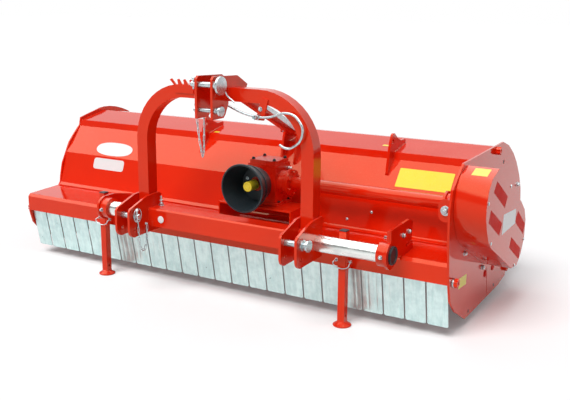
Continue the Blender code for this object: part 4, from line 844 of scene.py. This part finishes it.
# Bolts of the drive tube, the gearbox and the guard
def drive_fixings():
    shape = Shape()
    bolt(shape, at(1.1370, 0.0540, 0.5415), TO_FRONT, 0.024, 0.013, 0.0215, 10)
    shape.done("tube_bracket_bolt", zinc, "housing")
    shape = Shape()
    for k, (back, up) in enumerate(on_circle(6, 0.050, 30)):
        bolt(shape, at(0.3669, GEARBOX_Y + back, DRIVE_Z + up), TO_RIGHT, 0.013, 0.007, 0.0, 60 * k)
        bolt(shape, at(1.1890, GEARBOX_Y + back, DRIVE_Z + up), TO_LEFT, 0.013, 0.007, 0.0, 60 * k)
    shape.done("drive_tube_bolts", frame_red, "housing")
    shape = Shape()
    for x in (0.1792, 0.2928):
        for y in (0.0700, 0.1700):
            bolt(shape, at(x, y, CASE_TOP_Z), UPWARD, 0.013, 0.007, 0.009, x * 900 + y * 300)
    shape.done("gearbox_cover_bolts", primer, "housing")
    shape = Shape()
    profile = [(0.010, SKIN), (0.010, 0.008), (0.007, 0.010), (0.007, 0.016), (0.009, 0.018), (0.008, 0.023)]
    shape.lathe(toward(at(0.3111, 0.165, 0.617), TO_RIGHT), profile, 20)
    shape.done("gearbox_breather", zinc, "housing")
    shape = Shape()
    for k, (right, up) in enumerate(on_circle(8, 0.061, 22.5)):
        bolt(shape, at(GEARBOX_X + right, 0.0207, DRIVE_Z + up), TO_BACK, 0.011, 0.006, 0.0, 45 * k)
    shape.done("gearbox_neck_bolts", zinc, "housing")
    shape = Shape()
    for x in (0.155, 0.317):
        for y in (0.075, 0.165):
            bolt(shape, at(x, y, 0.4674), UPWARD, 0.011, 0.006, 0.0, y * 300)
    shape.done("gearbox_foot_bolts", primer, "housing")
    shape = Shape()
    for side in (-1, 1):
        bolt(shape, at(GEARBOX_X + side * 0.048, 0.0034, DRIVE_Z + 0.022), TO_FRONT, 0.010, 0.005, 0.009)
    shape.done("guard_screws", zinc, "housing")


drive_fixings()


def stay_fixings():
    shape = Shape()
    bolt(shape, at(0.3005, -0.1088, 0.9770), TO_BACK, 0.017, 0.009, 0.011)
    bolt(shape, at(0.2875, 0.350, 0.762), TO_RIGHT, 0.020, 0.010, 0.015)
    bolt(shape, at(0.1885, 0.350, 0.762), TO_LEFT, 0.020, 0.010, 0.015)
    shape.done("stay_bolts", zinc, "housing")


stay_fixings()


# Disc, bolts and spring on the sliding hitch
def beam_fixings():
    shape = Shape()
    profile = [(0.017, SKIN), (0.017, 0.0018), (0.0150, 0.0032), (0.0060, 0.0040)]
    shape.lathe(toward(at(-0.1665, -0.2031, TUBE_Z), TO_FRONT), profile, 32)
    shape.done("beam_disc_left", white_film, "hitch")
    shape = Shape()
    bolt(shape, at(0.3767, -0.1884, 0.9380), TO_FRONT, 0.013, 0.007, 0.010)
    bolt(shape, at(-0.2200, -0.1300, 0.4262), UPWARD, 0.018, 0.012, 0.0145)
    profile = [(0.0050, 0.0), (0.0050, 0.009), (0.0110, 0.010), (0.0110, 0.013), (0.0050, 0.014),
               (0.0050, 0.030), (0.0038, 0.032)]
    shape.lathe(toward(at(-0.2200, -0.1300, 0.4400), UPWARD), profile, 18)
    shape.done("hitch_bolts", zinc, "hitch")
    shape = Shape()
    coil = []
    coil_radius = 0.0085
    for k in range(72):
        turn = math.radians(40 * k)
        x = HOOK_X + coil_radius * math.cos(turn)
        z = HOOK_Z + coil_radius * math.sin(turn)
        coil.append(at(x, -0.2125 - 0.00030 * k, z))
    shape.wire(coil, 0.0013, 6)
    shape.done("hook_spring", zinc, "hose_hook")


# Linch pins and their chains hang on the hitch
def linch(shape, centre, side, radius=0.0045, reach=0.026, ring=0.026, wire=0.0024):
    """An upright pin with a broad head, and a spring ring that lies beside it."""
    up = Vector(UPWARD)
    back = Vector(TO_BACK)
    head = 2 * reach
    profile = [(radius * 0.6, 0.0), (radius, 0.003), (radius, head), (radius * 2.0, head + 0.001),
               (radius * 2.0, head + 0.007), (radius * 1.2, head + 0.010)]
    shape.lathe(toward(centre - up * reach, up), profile, 16)
    middle = centre + up * 0.004 + back * 0.010 + Vector((side, 0, 0))
    shape.wire(ring_line(middle, up, back, reach + 0.006, ring), wire, 8, True)


def hitch_chains():
    shape = Shape()
    linch(shape, at(-0.2290, -0.300, 0.404), -0.0045)
    linch(shape, at(0.5530, -0.300, 0.404), 0.0035, 0.0035)
    linch(shape, at(0.0940, -0.280, 1.036), 0.0055, 0.0045, 0.022, 0.020)
    linch(shape, at(0.1035, -0.280, 0.927), 0.0045, 0.0030, 0.016, 0.014, 0.0018)
    shape.done("hitch_linch_pins", zinc, "hitch")
    shape = Shape()
    chain(shape, hanging(at(-0.2350, -0.288, 0.372), at(-0.2350, -0.222, 0.347), 0.118))
    chain(shape, [at(0.0945, -0.268, 1.012), at(0.0985, -0.268, 0.900), at(0.1085, -0.262, 0.790),
                  at(0.1160, -0.258, 0.738), at(0.1210, -0.255, 0.716), at(0.1240, -0.252, 0.735),
                  at(0.1225, -0.247, 0.800), at(0.1195, -0.241, 0.885)])
    shape.done("hitch_chains", zinc, "hitch")
    shape = Shape()
    bolt(shape, at(-0.2409, -0.222, 0.352), TO_RIGHT, 0.010, 0.006, 0.008)
    profile = [(0.0050, 0.0), (0.0050, 0.004), (0.003, 0.006)]
    shape.lathe(toward(at(0.1190, -0.240, 0.8899), (0, 0, -1)), profile, 14)
    shape.done("chain_anchors", zinc, "hitch")


# Hook wire, guard rings and the long cap on the input shaft
def smooth_line(points):
    """A smooth curve through points."""
    steps = 6
    line = []
    for k in range(len(points) - 1):
        p0 = points[max(k - 1, 0)]
        p1 = points[k]
        p2 = points[k + 1]
        p3 = points[min(k + 2, len(points) - 1)]
        for i in range(steps):
            s = i / steps
            line.append(p1 + (p2 - p0) * (0.5 * s) + (p0 * 2 - p1 * 5 + p2 * 4 - p3) * (0.5 * s * s)
                        + (p1 * 3 - p0 - p2 * 3 + p3) * (0.5 * s ** 3))
    line.append(points[-1])
    return line


def hook_wire():
    shape = Shape()
    line = [(-0.150, 0.038), (-0.077, 0.012), (0.000, 0.000), (0.061, 0.004), (0.123, 0.025),
            (0.174, 0.020), (0.209, -0.013), (0.219, -0.047), (0.206, -0.088), (0.166, -0.119),
            (0.135, -0.122), (0.109, -0.110)]
    shape.wire(smooth_line([at(HOOK_X + x, -0.200, HOOK_Z + z) for x, z in line]), 0.0055, 12)
    profile = [(0.009, 0.0), (0.011, 0.001), (0.011, 0.0205), (0.009, 0.0207)]
    shape.lathe(toward(at(HOOK_X, -0.209, HOOK_Z), TO_BACK), profile, 24)
    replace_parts(shape.done("hose_hook_wire", zinc, "hose_hook"), "hose_hook")


def guard_rings():
    sizes = (("guard_rim", -0.1205, 0.1105, 0.010), ("guard_step", -0.066, 0.0985, 0.006))
    for name, y, radius, wide in sizes:
        shape = Shape()
        profile = [(radius - 0.0055, 0.0), (radius + 0.0010, 0.0), (radius + 0.0025, 0.0020),
                   (radius + 0.0025, wide - 0.002), (radius + 0.0005, wide), (radius - 0.0055, wide)]
        base = toward(at(GEARBOX_X, y, DRIVE_Z), TO_BACK)
        rings = []
        steps = 64
        for k in range(steps):
            turn = 2 * math.pi * k / steps
            rings.append([base @ Vector((r * math.cos(turn), r * math.sin(turn), h)) for r, h in profile])
        shape.loops(rings, True)
        shape.done(name, black, "housing")


def long_cap():
    """A cap with a grooved end and a collar, hollow where the shaft enters."""
    shape = Shape()
    profile = [(0.0120, 0.0), (0.0125, 0.0016), (0.0150, 0.0016), (0.0155, 0.0), (0.0205, 0.0),
               (0.0225, 0.0008), (0.0232, 0.0030), (0.0232, 0.0560), (0.0240, 0.0570), (0.0240, 0.0610),
               (0.0232, 0.0620), (0.0178, 0.0620), (0.0178, 0.0031)]
    shape.lathe(toward(at(GEARBOX_X, -0.0733, DRIVE_Z), TO_BACK), profile, 40)
    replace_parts(shape.done("pto_cap_moulded", yellow, "pto"), "pto_cap")


hook_wire()
guard_rings()
long_cap()
beam_fixings()
hitch_chains()


def top_pin_grip():
    shape = Shape()
    shape.wire([at(0.2315, -0.240, 1.010), at(0.2345, -0.232, 0.992), at(0.2450, -0.228, 0.980),
                at(0.2600, -0.226, 0.970), at(0.2700, -0.226, 0.962)], 0.0032, 10)
    shape.done("top_pin_grip", zinc, "top_pin")


top_pin_grip()


# Caps and pins of the stand legs
def leg_fittings(side, x):
    """A black cap on the leg, and a lock pin at the guide whose wire loop goes round the front."""
    shape = Shape()
    outline = rounded(0.0345, 0.0345, 0.003, 3)
    base = Matrix.Translation(at(x, LEG_Y, 0.432))
    shape.slab(base, outline, [(1.0, SKIN), (1.0, 0.0030), (0.93, 0.0048), (0.60, 0.0055)])
    shape.done(side + "_leg_cap", black, side + "_leg")
    shape = Shape()
    z = 0.297
    for way in (-1, 1):
        profile = [(0.0055, 0.0), (0.0055, 0.008), (0.0085, 0.009), (0.0085, 0.013), (0.005, 0.015)]
        shape.lathe(toward(at(x + way * 0.0240, LEG_Y, z), (way, 0, 0)), profile, 16)
    ends = ((0.0350, LEG_Y, z), (0.0385, -0.104, z - 0.001), (0.0390, -0.116, z - 0.004))
    line = [at(x - out, y, up) for out, y, up in ends]
    for k in range(13):
        turn = math.radians(180 + 15 * k)
        line.append(at(x + 0.0390 * math.cos(turn), -0.1195, z - 0.004 + 0.024 * math.sin(turn)))
    line += [at(x + out, y, up) for out, y, up in reversed(ends)]
    shape.wire(line, 0.0024, 8)
    shape.done(side + "_leg_pin", zinc, "housing")


leg_fittings("left", -0.620)
leg_fittings("right", 0.744)


# Bolts of the rotor bearings and of the roller brackets
def end_fixings():
    shape = Shape()
    for side in (-1, 1):
        for k, (back, up) in enumerate(on_circle(4, 0.060, 45)):
            spot = at(side * 1.2245, ROTOR_Y + back, ROTOR_Z + up)
            bolt(shape, spot, (side, 0, 0), 0.013, 0.007, 0.0, 30 * k)
    shape.done("bearing_bolts", zinc, "housing")
    shape = Shape()
    for side in (-1, 1):
        for y in (0.735, 0.800):
            spot = at(side * (PLATE_X + SKIN), y, 0.215)
            bolt(shape, spot, (side, 0, 0), 0.017, 0.008, 0.012, y * 300)
    shape.done("roller_bracket_bolts", zinc, "housing")


end_fixings()


# Floor, world and lamp
CAMERA_RAY = "Is Camera Ray"
GLOSSY_RAY = "Is Glossy Ray"
GLASS_RAY = "Is Transmission Ray"
FLOOR_HALF = 60.0


def ray_mask(graph, *kinds):
    """One for rays of the given kinds, else zero."""
    rays = graph.add("ShaderNodeLightPath")
    mask = rays.outputs[kinds[0]]
    for kind in kinds[1:]:
        mask = graph.math("MAXIMUM", mask, rays.outputs[kind])
    return mask


def make_floor():
    """A pale floor for the eye, and a greyer one for the light that it throws back."""
    bm = bmesh.new()
    bmesh.ops.create_grid(bm, x_segments=8, y_segments=8, size=FLOOR_HALF)
    mesh = bpy.data.meshes.new("studio_floor")
    bm.to_mesh(mesh)
    bm.free()
    floor = bpy.data.objects.new("studio_floor", mesh)
    bpy.context.scene.collection.objects.link(floor)
    mat = bpy.data.materials.new("studio_floor")
    mat.use_nodes = True
    graph = Graph(mat.node_tree)
    mat.node_tree.nodes.remove(mat.node_tree.nodes["Principled BSDF"])
    dull = graph.add("ShaderNodeBsdfDiffuse")
    dull.inputs["Color"].default_value = (0.62, 0.62, 0.62, 1)
    pale = graph.add("ShaderNodeBsdfDiffuse")
    pale.inputs["Color"].default_value = (0.90, 0.90, 0.90, 1)
    glow = graph.add("ShaderNodeEmission")
    glow.inputs["Strength"].default_value = 0.12
    both = graph.add("ShaderNodeAddShader")
    graph.link(pale.outputs[0], both.inputs[0])
    graph.link(glow.outputs[0], both.inputs[1])
    pick = graph.add("ShaderNodeMixShader")
    graph.link(ray_mask(graph, CAMERA_RAY, GLOSSY_RAY, GLASS_RAY), pick.inputs[0])
    graph.link(dull.outputs[0], pick.inputs[1])
    graph.link(both.outputs[0], pick.inputs[2])
    graph.link(pick.outputs[0], mat.node_tree.nodes["Material Output"].inputs["Surface"])
    mesh.materials.append(mat)


def make_world():
    """White for the eye, soft grey for light, and a studio with a bright ceiling for reflections."""
    world = bpy.data.worlds.new("studio")
    bpy.context.scene.world = world
    world.use_nodes = True
    graph = Graph(world.node_tree)
    shade = world.node_tree.nodes["Background"]
    split = graph.add("ShaderNodeSeparateXYZ")
    graph.link(graph.add("ShaderNodeTexCoord").outputs["Generated"], split.inputs[0])
    ceiling = graph.ramp(split.outputs["Z"], 0.44, 0.66, 0.0, 3.4)
    behind = graph.ramp(split.outputs["Y"], -0.05, 0.30, 0.0, 1.05)
    horizon = graph.ramp(split.outputs["Z"], 0.10, 0.24, 1.0, 0.30)
    mirror = graph.math("MAXIMUM", graph.math("MAXIMUM", ceiling, behind), horizon)
    soft = graph.mix(ray_mask(graph, CAMERA_RAY), (0.36, 0.36, 0.37), (1.0, 1.0, 1.0))
    shiny = graph.add("ShaderNodeCombineXYZ")
    for socket in shiny.inputs:
        graph.link(mirror, socket)
    mirrored = ray_mask(graph, GLOSSY_RAY, GLASS_RAY)
    graph.link(graph.mix(mirrored, soft, shiny.outputs[0]), shade.inputs["Color"])
    shade.inputs["Strength"].default_value = 1.0


def make_key_light():
    """A wide sun from the front and above that shows in no reflection."""
    data = bpy.data.lights.new("key", "SUN")
    data.energy = 2.60
    data.angle = math.radians(34)
    key = bpy.data.objects.new("key", data)
    bpy.context.scene.collection.objects.link(key)
    direction = Vector((-0.04, -0.60, 0.80))
    key.rotation_euler = (-direction).to_track_quat("-Z", "Y").to_euler()
    key.visible_glossy = False


make_floor()
make_world()
make_key_light()
bpy.context.scene.view_settings.view_transform = "Standard"
